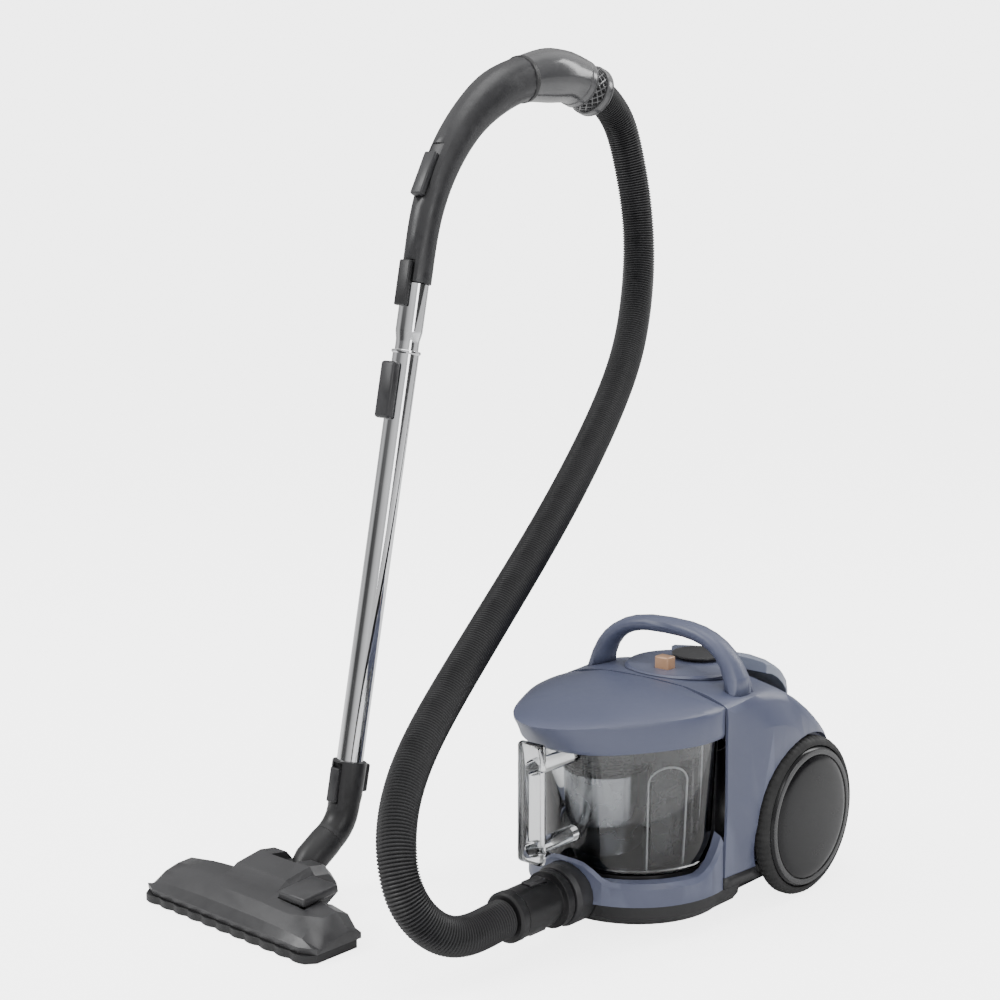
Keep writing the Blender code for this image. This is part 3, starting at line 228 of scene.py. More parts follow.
def ring_tube(name, centres, radii, segments):
    """A round tube through the centres, its rings carried along without twisting."""
    form = bmesh.new()
    rings = []
    side = Vector((1.0, 0.0, 0.0))
    for i, (centre, radius) in enumerate(zip(centres, radii)):
        ahead = Vector(centres[min(i + 1, len(centres) - 1)]) - Vector(centres[max(i - 1, 0)])
        ahead.normalize()
        side = (side - side.dot(ahead) * ahead).normalized()
        up = ahead.cross(side)
        ring = []
        for k in range(segments):
            turn = 2.0 * math.pi * k / segments
            point = Vector(centre) + radius * (math.cos(turn) * side + math.sin(turn) * up)
            ring.append(form.verts.new(point))
        rings.append(ring)
    for first, second in zip(rings, rings[1:]):
        for k in range(segments):
            after = (k + 1) % segments
            form.faces.new((first[k], first[after], second[after], second[k]))
    form.faces.new(list(reversed(rings[0])))
    form.faces.new(rings[-1])
    mesh = bpy.data.meshes.new(name)
    form.to_mesh(mesh)
    form.free()
    mesh.shade_smooth()
    mesh.set_sharp_from_angle(angle=math.radians(50.0))
    made = bpy.data.objects.new(name, mesh)
    bpy.context.scene.collection.objects.link(made)
    return made


def moulding_group():
    """Uneven colour, lighter convex edges, rub marks and fine grain of a moulded plastic surface. The
    lighter edges are scuffs, and on the hose's rib crests a painted sheen.
    """
    group = bpy.data.node_groups.new("moulding", "ShaderNodeTree")
    inputs = (
        ("Colour", "NodeSocketColor", (0.1, 0.1, 0.1, 1.0)),
        ("Shade", "NodeSocketColor", (0.08, 0.08, 0.08, 1.0)),
        ("Scuff And Sheen Colour", "NodeSocketColor", (0.2, 0.2, 0.2, 1.0)),
        ("Patch Scale", "NodeSocketFloat", 11.0),
        ("Grain Scale", "NodeSocketFloat", 1500.0),
        ("Rub Scale", "NodeSocketFloat", 70.0),
        ("Rough Low", "NodeSocketFloat", 0.35),
        ("Rough High", "NodeSocketFloat", 0.50),
        ("Scuff And Sheen Amount", "NodeSocketFloat", 0.3),
    )
    for name, kind, value in inputs:
        group.interface.new_socket(name=name, in_out="INPUT", socket_type=kind).default_value = value
    for name, kind in (("Colour", "NodeSocketColor"), ("Roughness", "NodeSocketFloat"),
                       ("Height", "NodeSocketFloat")):
        group.interface.new_socket(name=name, in_out="OUTPUT", socket_type=kind)
    nodes = group.nodes
    link = group.links.new
    given = nodes.new("NodeGroupInput")
    result = nodes.new("NodeGroupOutput")
    where = nodes.new("ShaderNodeTexCoord")
    patches = nodes.new("ShaderNodeTexNoise")
    patches.inputs["Detail"].default_value = 3.0
    grain = nodes.new("ShaderNodeTexNoise")
    grain.inputs["Detail"].default_value = 2.0
    rub = nodes.new("ShaderNodeTexNoise")
    rub.inputs["Detail"].default_value = 5.0
    rub.inputs["Distortion"].default_value = 0.6
    for texture, scale in ((patches, "Patch Scale"), (grain, "Grain Scale"), (rub, "Rub Scale")):
        link(where.outputs["Object"], texture.inputs["Vector"])
        link(given.outputs[scale], texture.inputs["Scale"])
    spread = nodes.new("ShaderNodeMapRange")
    spread.inputs["From Min"].default_value = 0.35
    spread.inputs["From Max"].default_value = 0.68
    link(patches.outputs["Fac"], spread.inputs["Value"])
    shade = nodes.new("ShaderNodeMix")
    shade.data_type = "RGBA"
    link(spread.outputs["Result"], shade.inputs["Factor"])
    link(given.outputs["Colour"], shade.inputs["A"])
    link(given.outputs["Shade"], shade.inputs["B"])
    # Convex edges, found by pointiness and broken up by the rub noise, take the lighter colour: scuffed
    # edges, and on the hose's rib crests a painted sheen.
    form = nodes.new("ShaderNodeNewGeometry")
    edge = nodes.new("ShaderNodeMapRange")
    edge.inputs["From Min"].default_value = 0.515
    edge.inputs["From Max"].default_value = 0.600
    link(form.outputs["Pointiness"], edge.inputs["Value"])
    edge_scuff_and_sheen_mask = nodes.new("ShaderNodeMath")
    edge_scuff_and_sheen_mask.operation = "MULTIPLY"
    link(edge.outputs["Result"], edge_scuff_and_sheen_mask.inputs[0])
    link(rub.outputs["Fac"], edge_scuff_and_sheen_mask.inputs[1])
    amount = nodes.new("ShaderNodeMath")
    amount.operation = "MULTIPLY"
    link(edge_scuff_and_sheen_mask.outputs["Value"], amount.inputs[0])
    link(given.outputs["Scuff And Sheen Amount"], amount.inputs[1])
    scuff_and_sheen_colour = nodes.new("ShaderNodeMix")
    scuff_and_sheen_colour.data_type = "RGBA"
    link(amount.outputs["Value"], scuff_and_sheen_colour.inputs["Factor"])
    link(shade.outputs["Result"], scuff_and_sheen_colour.inputs["A"])
    link(given.outputs["Scuff And Sheen Colour"], scuff_and_sheen_colour.inputs["B"])
    link(scuff_and_sheen_colour.outputs["Result"], result.inputs["Colour"])
    sheen = nodes.new("ShaderNodeMapRange")
    sheen.inputs["From Min"].default_value = 0.30
    sheen.inputs["From Max"].default_value = 0.70
    link(rub.outputs["Fac"], sheen.inputs["Value"])
    link(given.outputs["Rough Low"], sheen.inputs["To Min"])
    link(given.outputs["Rough High"], sheen.inputs["To Max"])
    link(sheen.outputs["Result"], result.inputs["Roughness"])
    link(grain.outputs["Fac"], result.inputs["Height"])
    return group


MOULDING = moulding_group()


def moulded(name, colour, shade, scuff_and_sheen_colour, rough, grain=1500.0, depth=0.00006, patch=11.0, rub=70.0,
            scuff_and_sheen_amount=0.3, strength=0.25, **plain):
    """A moulded plastic, rubber or plated finish; plain holds constants for the shader itself."""
    made = bpy.data.materials.new(name)
    made.use_nodes = True
    tree = made.node_tree
    shader = tree.nodes["Principled BSDF"]
    for socket, value in plain.items():
        shader.inputs[socket.replace("_", " ")].default_value = value
    surface = tree.nodes.new("ShaderNodeGroup")
    surface.node_tree = MOULDING
    for socket, value in (("Colour", colour), ("Shade", shade), ("Scuff And Sheen Colour", scuff_and_sheen_colour)):
        surface.inputs[socket].default_value = (*value, 1.0)
    for socket, value in (("Patch Scale", patch), ("Grain Scale", grain), ("Rub Scale", rub),
                          ("Rough Low", rough[0]), ("Rough High", rough[1]), ("Scuff And Sheen Amount", scuff_and_sheen_amount)):
        surface.inputs[socket].default_value = value
    bump = tree.nodes.new("ShaderNodeBump")
    bump.inputs["Strength"].default_value = strength
    bump.inputs["Distance"].default_value = depth
    tree.links.new(surface.outputs["Colour"], shader.inputs["Base Color"])
    tree.links.new(surface.outputs["Roughness"], shader.inputs["Roughness"])
    tree.links.new(surface.outputs["Height"], bump.inputs["Height"])
    tree.links.new(bump.outputs["Normal"], shader.inputs["Normal"])
    made.diffuse_color = (*colour, 1.0)
    return made


hose_first = np.array(HOSE_ROUTE[0])
hose_last = np.array(HOSE_ROUTE[-1])
hose_leads = (hose_first + np.array((0.0, -HOSE_LEAD, 0.0)), hose_last + HOSE_LEAD * np.array(HANDLE_EXIT))
hose_middle = natural_spline((hose_first, hose_leads[0], *HOSE_ROUTE[1:-1], hose_leads[1], hose_last), 400)
hose_line = np.vstack([hose_first, hose_leads[0], hose_middle[4:-4], hose_leads[1], hose_last])
hose_run = np.concatenate(([0.0], np.cumsum(np.linalg.norm(np.diff(hose_line, axis=0), axis=1))))
HOSE_LENGTH = float(hose_run[-1])
rib_count = int(HOSE_LENGTH / RIB_PITCH)
hose_at = []
hose_radii = []
for rib in range(rib_count):
    for share, radius in ((0.00, HOSE_VALLEY), (0.18, HOSE_VALLEY + 0.0003), (0.34, HOSE_CREST - 0.0004),
                          (0.54, HOSE_CREST), (0.74, HOSE_CREST - 0.0004), (0.90, HOSE_VALLEY + 0.0003)):
        hose_at.append((rib + share) / rib_count * HOSE_LENGTH)
        hose_radii.append(radius)
hose_at.append(HOSE_LENGTH)
hose_radii.append(HOSE_VALLEY)
hose_centres = []
for at in hose_at:
    on_line = [float(np.interp(at, hose_run, hose_line[:, k])) for k in range(3)]
    hose_centres.append(CENTRE + Vector(on_line))
suction_hose = ring_tube("suction_hose", hose_centres, hose_radii, 22)
# The lighter colour laid on the convex rib crests at a high amount is a painted sheen; the black itself is
# the hose's own.
HOSE_BLACK = moulded("hose_black", (0.010, 0.010, 0.011), (0.006, 0.006, 0.007), (0.05, 0.05, 0.053),
                     (0.34, 0.52), grain=900.0, rub=40.0, scuff_and_sheen_amount=0.8, Specular_IOR_Level=0.45)
suction_hose.data.materials.append(HOSE_BLACK)
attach(suction_hose, "canister")
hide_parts("hose")


# ---- slate-blue shells of the canister -----------------------------------------------------------
# Injection-moulded ABS in a satin slate blue with a very fine spark-eroded grain.  The rear shell and
# the front skirt are screwed to the base from below, and the arched handle is snapped into the shell.
BLUE = moulded("slate_blue_satin", (0.082, 0.093, 0.150), (0.072, 0.082, 0.134), (0.20, 0.22, 0.31),
               (0.34, 0.46), grain=2300.0, depth=0.00003, patch=7.0, rub=26.0, scuff_and_sheen_amount=0.5,
               Coat_Weight=0.12, Coat_Roughness=0.30)


def softened(node, name, body, finish, edge=0.0006, sharp=32.0, steps=2):
    """The CAD form with its facets merged, its corners rounded as a mould leaves them, and a finish."""
    form = bmesh.new()
    form.from_mesh(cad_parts[node].data)
    bmesh.ops.remove_doubles(form, verts=form.verts, dist=0.000004)
    bmesh.ops.dissolve_limit(form, angle_limit=math.radians(0.5), verts=form.verts, edges=form.edges)
    mesh = bpy.data.meshes.new(name)
    form.to_mesh(mesh)
    form.free()
    mesh.materials.clear()
    mesh.materials.append(finish)
    mesh.shade_smooth()
    mesh.set_sharp_from_angle(angle=math.radians(sharp))
    made = bpy.data.objects.new(name, mesh)
    bpy.context.scene.collection.objects.link(made)
    if edge > 0.0:
        rounding = made.modifiers.new("rounding", "BEVEL")
        rounding.width = edge
        rounding.segments = steps
        rounding.limit_method = "ANGLE"
        rounding.angle_limit = math.radians(38.0)
        rounding.harden_normals = True
    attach(made, body)
    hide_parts(node)
    return made


for node, name, edge in (("body_shell", "rear_shell", 0.0007), ("front_skirt", "skirt", 0.0008),
                         ("control_deck", "deck_disc", 0.0006), ("carry_handle", "arched_handle", 0.0)):
    softened(node, name, "canister", BLUE, edge)


def lower_trim(node, name, top, finish):
    """A thin band that follows the outside of a shell below a height, laid on it as a second colour."""
    form = bmesh.new()
    form.from_mesh(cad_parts[node].data)
    bmesh.ops.remove_doubles(form, verts=form.verts, dist=0.000004)
    everything = list(form.verts) + list(form.edges) + list(form.faces)
    bmesh.ops.bisect_plane(form, geom=everything, plane_co=(0.0, 0.0, top), plane_no=(0.0, 0.0, 1.0),
                           clear_outer=True)
    middle = Vector((CENTRE.x, CENTRE.y + 0.10, 0.0))
    kept_out = []
    for face in form.faces:
        outward = face.calc_center_median() - middle
        outward.z = 0.0
        if abs(face.normal.z) > 0.5 or face.normal.dot(outward.normalized()) < 0.2:
            kept_out.append(face)
    bmesh.ops.delete(form, geom=kept_out, context="FACES")
    mesh = bpy.data.meshes.new(name)
    form.to_mesh(mesh)
    form.free()
    mesh.materials.clear()
    mesh.materials.append(finish)
    mesh.shade_smooth()
    made = bpy.data.objects.new(name, mesh)
    bpy.context.scene.collection.objects.link(made)
    shell = made.modifiers.new("thickness", "SOLIDIFY")
    shell.thickness = 0.0007
    shell.offset = 1.0
    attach(made, "canister")
    return made


softened("bin_lid", "container_lid", "lid", BLUE, 0.0007)

PALE_BLUE = moulded("pale_blue_satin", (0.230, 0.255, 0.330), (0.205, 0.230, 0.300), (0.42, 0.45, 0.54),
                    (0.32, 0.44), grain=2300.0, depth=0.00003, scuff_and_sheen_amount=0.4)
for node, name, body in (("power_pedal", "power_pedal_cap", "pedal_power"),
                         ("rewind_pedal", "rewind_pedal_cap", "pedal_rewind")):
    softened(node, name, body, PALE_BLUE, 0.0012, steps=3)


# ---- black and grey mouldings --------------------------------------------------------------------
# The chassis, the bulkhead behind the container and the outlet gland are black glass-filled nylon;
# latches, sliders and housings are dark grey ABS.  All are grained, and dull where they are rubbed.
BLACK = moulded("black_nylon", (0.009, 0.009, 0.010), (0.006, 0.006, 0.007), (0.05, 0.05, 0.053),
                (0.36, 0.52), grain=1900.0, depth=0.00004, scuff_and_sheen_amount=0.5)
GREY = moulded("dark_grey_abs", (0.020, 0.020, 0.022), (0.015, 0.015, 0.017), (0.09, 0.09, 0.095),
               (0.32, 0.46), grain=2100.0, depth=0.00004, scuff_and_sheen_amount=0.5)
lower_trim("body_shell", "lower_trim_band", 0.0480, BLACK)
for node, name, body, edge in (
        ("base_pan", "chassis", "canister", 0.0008),
        ("bulkhead", "container_bulkhead", "canister", 0.0),
        ("cable_gland", "outlet_gland", "canister", 0.0003),
        ("hose_cuff", "plug_in_cuff", "canister", 0.0005),
        ("hose_swivel_ring", "turning_ring", "ring", 0.0005),
        ("wand_elbow", "foot_collar", "lower_wand", 0.0006),
        ("parking_hook", "parking_hook_rib", "lower_wand", 0.0005),
        ("nozzle_neck", "neck_joint", "neck", 0.0005),
        ("soleplate", "nozzle_sole", "nozzle_head", 0.0004),
        ("lid_latch", "lid_catch_tab", "lid_catch", 0.0004),
        ("handle_latch", "grip_latch_tab", "grip_latch", 0.0006)):
    softened(node, name, body, BLACK, edge)
for node, name, body, edge in (
        ("inlet_housing", "inlet_collar", "canister", 0.0006),
        ("cuff_latch_top", "upper_cuff_latch", "latch_top", 0.0005),
        ("cuff_latch_bottom", "lower_cuff_latch", "latch_bottom", 0.0005),
        ("height_slider", "height_slide_button", "height_lock", 0.0008),
        ("collar_latch", "collar_latch_tab", "collar_catch", 0.0006),
        ("air_slider", "air_bleed_slider", "bleed", 0.0006),
        ("handle_grip", "grip", "canister", 0.0005),
        ("caster_yoke", "caster_fork_plate", "caster_fork", 0.0004),
        ("exhaust_grille", "outlet_grille", "grille", 0.0005),
        ("motor_housing", "motor_can", "canister", 0.0005),
        ("suction_dial", "dial_knob", "dial", 0.0008)):
    softened(node, name, body, GREY, edge)

# The bend tube between the grip and the hose, and the openwork cuff that turns on its end, are a
# lighter grey ABS with a polished face.
BEND_GREY = moulded("polished_grey_abs", (0.062, 0.062, 0.065), (0.050, 0.050, 0.053), (0.18, 0.18, 0.185),
                    (0.14, 0.24), grain=1200.0, depth=0.00002, scuff_and_sheen_amount=0.5, Coat_Weight=0.35,
                    Coat_Roughness=0.12)
softened("handle_tube", "bend_tube", "canister", BEND_GREY, 0.0004)

# The nozzle's upper shell has flat facets with crisp edges; its foot pedal is a plate in the same ABS.
# This grey is lighter than the dark grey ABS elsewhere: a painted sheen standing in for the broad light on
# the nozzle's top faces.
NOZZLE_GREY_PAINTED_SHEEN = moulded("nozzle_grey_abs_painted_sheen", (0.034, 0.034, 0.036), (0.026, 0.026, 0.028), (0.13, 0.13, 0.135),
                      (0.28, 0.42), grain=1500.0, depth=0.00005, scuff_and_sheen_amount=0.6)
softened("nozzle_shell", "nozzle_body", "nozzle_head", NOZZLE_GREY_PAINTED_SHEEN, 0.0008, sharp=15.0)
softened("brush_pedal", "brush_pedal_plate", "foot_pedal", NOZZLE_GREY_PAINTED_SHEEN, 0.0008)


# ---- swivel cuff under the handle ----------------------------------------------------------------
# A sleeve with two collars joined by a criss-cross of ribs over a dark core; the hose is screwed
# into it and the whole cuff turns on the end of the bend tube.
SWIVEL_START = Vector((-0.255, 0.2075, 0.8503)) + CENTRE
SWIVEL_TURN = HANDLE_EXIT.to_track_quat("Z", "X").to_matrix().to_4x4()


def turned_piece(name, profile, finish, matrix, segments=64):
    """A turned piece: the profile of (radius, distance along the axis) goes round the axis Z."""
    form = bmesh.new()
    rings = []
    for radius, along in profile:
        if radius < 1e-6:
            rings.append([form.verts.new((0.0, 0.0, along))])
            continue
        ring = []
        for i in range(segments):
            turn = 2.0 * math.pi * i / segments
            ring.append(form.verts.new((radius * math.cos(turn), radius * math.sin(turn), along)))
        rings.append(ring)
    for first, second in zip(rings, rings[1:]):
        for i in range(segments):
            after = (i + 1) % segments
            if len(first) == 1:
                form.faces.new((first[0], second[after], second[i]))
            elif len(second) == 1:
                form.faces.new((first[i], first[after], second[0]))
            else:
                form.faces.new((first[i], first[after], second[after], second[i]))
    bmesh.ops.recalc_face_normals(form, faces=form.faces)
    mesh = bpy.data.meshes.new(name)
    form.to_mesh(mesh)
    form.free()
    mesh.materials.append(finish)
    mesh.shade_smooth()
    mesh.set_sharp_from_angle(angle=math.radians(28.0))
    made = bpy.data.objects.new(name, mesh)
    made.matrix_world = matrix
    bpy.context.scene.collection.objects.link(made)
    return made


swivel_place = Matrix.Translation(SWIVEL_START) @ SWIVEL_TURN
swivel_core = turned_piece("swivel_core", (
    (0.0, 0.0004), (0.0230, 0.0004), (0.0235, 0.0020), (0.0235, 0.0370), (0.0230, 0.0396), (0.0, 0.0396)),
    BLACK, swivel_place)
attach(swivel_core, "swivel")
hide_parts("handle_swivel")
for word, start, end, radius in (("inner", 0.0004, 0.0115, 0.0282), ("outer", 0.0290, 0.0396, 0.0287)):
    collar = turned_piece("swivel_collar_" + word, (
        (0.0230, start), (radius - 0.0012, start), (radius, start + 0.0012), (radius, end - 0.0040),
        (radius - 0.0010, end - 0.0030), (radius - 0.0010, end - 0.0022), (radius, end - 0.0014),
        (radius - 0.0006, end), (0.0230, end)), BEND_GREY, swivel_place)
    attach(collar, "swivel")
rib_form = bmesh.new()
for i in range(18):
    for lean in (1.0, -1.0):
        strip = []
        for k in range(6):
            share = k / 5.0
            turn = 2.0 * math.pi * i / 18.0 + lean * (share - 0.5) * math.radians(38.0)
            along = 0.0105 + 0.0195 * share
            row = []
            for radius, offset in ((0.0232, -0.0011), (0.0262, -0.0008),
                                   (0.0262, 0.0008), (0.0232, 0.0011)):
                angle = turn + offset / radius
                row.append(rib_form.verts.new((radius * math.cos(angle), radius * math.sin(angle), along)))
            strip.append(row)
        for first, second in zip(strip, strip[1:]):
            for k in range(4):
                after = (k + 1) % 4
                rib_form.faces.new((first[k], first[after], second[after], second[k]))
        rib_form.faces.new(list(reversed(strip[0])))
        rib_form.faces.new(strip[-1])
bmesh.ops.recalc_face_normals(rib_form, faces=rib_form.faces)
rib_mesh = bpy.data.meshes.new("swivel_ribs")
rib_form.to_mesh(rib_mesh)
rib_form.free()
rib_mesh.materials.append(BEND_GREY)
swivel_ribs = bpy.data.objects.new("swivel_ribs", rib_mesh)
swivel_ribs.matrix_world = swivel_place
bpy.context.scene.collection.objects.link(swivel_ribs)
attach(swivel_ribs, "swivel")


# A dark rubber ring closes the joint between the grip and the bend tube.
joint_at = CENTRE + Vector((-0.255, 0.1180, 0.8470))
joint_turn = Vector((0.0, 0.9860, 0.1670)).to_track_quat("Z", "X").to_matrix().to_4x4()
joint_ring = turned_piece("handle_joint_ring", (
    (0.0240, -0.0030), (0.0254, -0.0030), (0.0261, -0.0022), (0.0261, 0.0022), (0.0256, 0.0030),
    (0.0240, 0.0030), (0.0240, -0.0030)), BLACK, Matrix.Translation(joint_at) @ joint_turn)
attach(joint_ring, "canister")


# ---- telescopic wand -----------------------------------------------------------------------------
# Two drawn steel tubes, chrome-plated and polished.  The thinner one slides inside the other and is
# held by a sprung slide button; its upper end is swaged out to plug into the handle.
WAND_FOOT = Vector((-0.255, -0.166, 0.070)) + CENTRE
WAND_LEAN = math.radians(11.8)
wand_place = Matrix.Translation(WAND_FOOT) @ Matrix.Rotation(-WAND_LEAN, 4, "X")


def polished_metal(name, colour, shade, rough, stretch, depth):
    """Bright metal with lengthwise draw lines, faint smears and small differences of tone."""
    made = bpy.data.materials.new(name)
    made.use_nodes = True
    tree = made.node_tree
    shader = tree.nodes["Principled BSDF"]
    shader.inputs["Metallic"].default_value = 1.0
    where = tree.nodes.new("ShaderNodeTexCoord")
    drawn = tree.nodes.new("ShaderNodeMapping")
    drawn.inputs["Scale"].default_value = stretch
    lines = tree.nodes.new("ShaderNodeTexNoise")
    lines.inputs["Scale"].default_value = 900.0
    lines.inputs["Detail"].default_value = 3.0
    smears = tree.nodes.new("ShaderNodeTexNoise")
    smears.inputs["Scale"].default_value = 24.0
    smears.inputs["Detail"].default_value = 4.0
    tone = tree.nodes.new("ShaderNodeValToRGB")
    tone.color_ramp.elements[0].position = 0.35
    tone.color_ramp.elements[0].color = (*shade, 1.0)
    tone.color_ramp.elements[1].position = 0.65
    tone.color_ramp.elements[1].color = (*colour, 1.0)
    dulled = tree.nodes.new("ShaderNodeMapRange")
    dulled.inputs["From Min"].default_value = 0.35
    dulled.inputs["From Max"].default_value = 0.75
    dulled.inputs["To Min"].default_value = rough[0]
    dulled.inputs["To Max"].default_value = rough[1]
    bump = tree.nodes.new("ShaderNodeBump")
    bump.inputs["Strength"].default_value = 0.10
    bump.inputs["Distance"].default_value = depth
    tree.links.new(where.outputs["Object"], drawn.inputs["Vector"])
    tree.links.new(drawn.outputs["Vector"], lines.inputs["Vector"])
    tree.links.new(where.outputs["Object"], smears.inputs["Vector"])
    tree.links.new(smears.outputs["Fac"], tone.inputs["Fac"])
    tree.links.new(smears.outputs["Fac"], dulled.inputs["Value"])
    tree.links.new(tone.outputs["Color"], shader.inputs["Base Color"])
    tree.links.new(dulled.outputs["Result"], shader.inputs["Roughness"])
    tree.links.new(lines.outputs["Fac"], bump.inputs["Height"])
    tree.links.new(bump.outputs["Normal"], shader.inputs["Normal"])
    made.diffuse_color = (*colour, 1.0)
    return made


CHROME = polished_metal("chrome_plate", (0.80, 0.805, 0.82), (0.74, 0.745, 0.76), (0.04, 0.13),
                        (1.0, 1.0, 0.02), 0.00001)
upper_wand = turned_piece("upper_wand_tube", (
    (0.0115, 0.5710), (0.0138, 0.5710), (0.0143, 0.5702), (0.0143, 0.5205), (0.0140, 0.5180),
    (0.0126, 0.5110), (0.0125, 0.5080), (0.0125, 0.1002), (0.0115, 0.1002), (0.0115, 0.5710)),
    CHROME, wand_place, 72)
lower_wand = turned_piece("lower_wand_tube", (
    (0.0130, 0.4998), (0.0152, 0.4998), (0.0156, 0.4993), (0.0156, 0.4974), (0.0140, 0.4960),
    (0.0140, 0.0302), (0.0130, 0.0302), (0.0130, 0.4998)), CHROME, wand_place, 72)
for piece, body, node in ((upper_wand, "canister", "upper_tube"), (lower_wand, "lower_wand", "lower_tube")):
    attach(piece, body)
    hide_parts(node)


# ---- dust container ------------------------------------------------------------------------------
# A clear polycarbonate vessel, D-shaped in plan, with its grip welded to the front.  Inside stand a
# silvery cyclone with a dark filter cage on top, a pale back wall, and a black outlet duct.
def clear_plastic(name, tint, rough):
    """Polished clear plastic with faint wipe marks."""
    made = bpy.data.materials.new(name)
    made.use_nodes = True
    tree = made.node_tree
    shader = tree.nodes["Principled BSDF"]
    shader.inputs["Transmission Weight"].default_value = 1.0
    shader.inputs["IOR"].default_value = 1.50
    where = tree.nodes.new("ShaderNodeTexCoord")
    wipes = tree.nodes.new("ShaderNodeTexNoise")
    wipes.inputs["Scale"].default_value = 38.0
    wipes.inputs["Detail"].default_value = 5.0
    wipes.inputs["Distortion"].default_value = 1.2
    tone = tree.nodes.new("ShaderNodeValToRGB")
    tone.color_ramp.elements[0].color = (*[0.95 * c for c in tint], 1.0)
    tone.color_ramp.elements[1].color = (*tint, 1.0)
    haze = tree.nodes.new("ShaderNodeMapRange")
    haze.inputs["From Min"].default_value = 0.40
    haze.inputs["From Max"].default_value = 0.75
    haze.inputs["To Min"].default_value = rough[0]
    haze.inputs["To Max"].default_value = rough[1]
    tree.links.new(where.outputs["Object"], wipes.inputs["Vector"])
    tree.links.new(wipes.outputs["Fac"], tone.inputs["Fac"])
    tree.links.new(wipes.outputs["Fac"], haze.inputs["Value"])
    tree.links.new(tone.outputs["Color"], shader.inputs["Base Color"])
    tree.links.new(haze.outputs["Result"], shader.inputs["Roughness"])
    made.diffuse_color = (*tint, 0.35)
    return made


CLEAR = clear_plastic("clear_polycarbonate", (0.95, 0.965, 0.975), (0.01, 0.05))
softened("dust_bin", "container_vessel", "dust_container", CLEAR, 0.0)
softened("bin_grip", "container_grip", "dust_container", CLEAR, 0.0)

PANEL_GREY = moulded("pale_grey_abs", (0.50, 0.51, 0.52), (0.44, 0.45, 0.46), (0.70, 0.71, 0.72),
                     (0.25, 0.38), grain=1900.0, depth=0.00003, scuff_and_sheen_amount=0.2)
softened("bin_back", "container_back_wall", "dust_container", PANEL_GREY, 0.0)

SILVER = polished_metal("silver_lacquer", (0.34, 0.345, 0.36), (0.26, 0.265, 0.28), (0.20, 0.34),
                        (1.0, 1.0, 0.05), 0.000002)
cyclone_place = Matrix.Translation(CENTRE + Vector((0.0, -0.0420, 0.0)))
cyclone_body = turned_piece("cyclone_body", (
    (0.0, 0.0646), (0.0290, 0.0646), (0.0390, 0.0715), (0.0393, 0.0960), (0.0420, 0.1030),
    (0.0428, 0.1060), (0.0428, 0.1550), (0.0405, 0.1560), (0.0, 0.1560)), SILVER, cyclone_place, 72)
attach(cyclone_body, "dust_container")
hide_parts("cyclone")
INNER_BLACK = moulded("smooth_black_abs", (0.010, 0.010, 0.011), (0.007, 0.007, 0.008), (0.03, 0.03, 0.032),
                      (0.22, 0.34), grain=1200.0, depth=0.000006, scuff_and_sheen_amount=0.1)
cage_profile = [(0.0, 0.1561), (0.0438, 0.1561), (0.0439, 0.1580)]
for i in range(9):
    base = 0.1590 + 0.0032 * i
    cage_profile += [(0.0424, base), (0.0424, base + 0.0012),
                     (0.0438, base + 0.0014), (0.0438, base + 0.0030)]
cage_profile += [(0.0430, 0.1900), (0.0, 0.1903)]
cage = turned_piece("cyclone_cage", cage_profile, INNER_BLACK, cyclone_place, 72)
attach(cage, "dust_container")


def arc_wall(name, radius, thickness, start, end, low, high, finish):
    """A thin upright wall bent round the container's axis, between two angles from the front."""
    form = bmesh.new()
    steps = 20
    rows = []
    for i in range(steps + 1):
        turn = math.radians(start + (end - start) * i / steps)
        across = Vector((math.sin(turn), -math.cos(turn), 0.0))
        row = []
        inner = radius - thickness
        for reach, z in ((radius, low), (radius, high), (inner, high), (inner, low)):
            row.append(form.verts.new(CENTRE + across * reach + Vector((0.0, 0.0, z))))
        rows.append(row)
    for first, second in zip(rows, rows[1:]):
        for k in range(4):
            after = (k + 1) % 4
            form.faces.new((first[k], first[after], second[after], second[k]))
    form.faces.new(list(reversed(rows[0])))
    form.faces.new(rows[-1])
    bmesh.ops.recalc_face_normals(form, faces=form.faces)
    mesh = bpy.data.meshes.new(name)
    form.to_mesh(mesh)
    form.free()
    mesh.materials.append(finish)
    mesh.shade_smooth()
    mesh.set_sharp_from_angle(angle=math.radians(40.0))
    made = bpy.data.objects.new(name, mesh)
    bpy.context.scene.collection.objects.link(made)
    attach(made, "dust_container")
    return made


arc_wall("outlet_duct", 0.0790, 0.0040, 52.0, 86.0, 0.0660, 0.1960, INNER_BLACK)
arc_wall("upper_baffle", 0.0900, 0.0022, -20.0, 86.0, 0.1760, 0.1985, INNER_BLACK)
for at in (80.0, 86.5):
    arc_wall("duct_post_%d" % round(at), 0.0868, 0.0060, at, at + 2.2, 0.0650, 0.1960, INNER_BLACK)


def bent_rod(name, points, radius, finish):
    """A round rod through the given points: a straight-sided poly line with a round bevel."""
    line = bpy.data.curves.new(name, "CURVE")
    line.dimensions = "3D"
    line.bevel_depth = radius
    line.bevel_resolution = 4
    line.use_fill_caps = True
    spline = line.splines.new("POLY")
    spline.points.add(len(points) - 1)
    for knot, point in zip(spline.points, points):
        knot.co = (*point, 1.0)
    made = bpy.data.objects.new(name, line)
    line.materials.append(finish)
    bpy.context.scene.collection.objects.link(made)
    return made


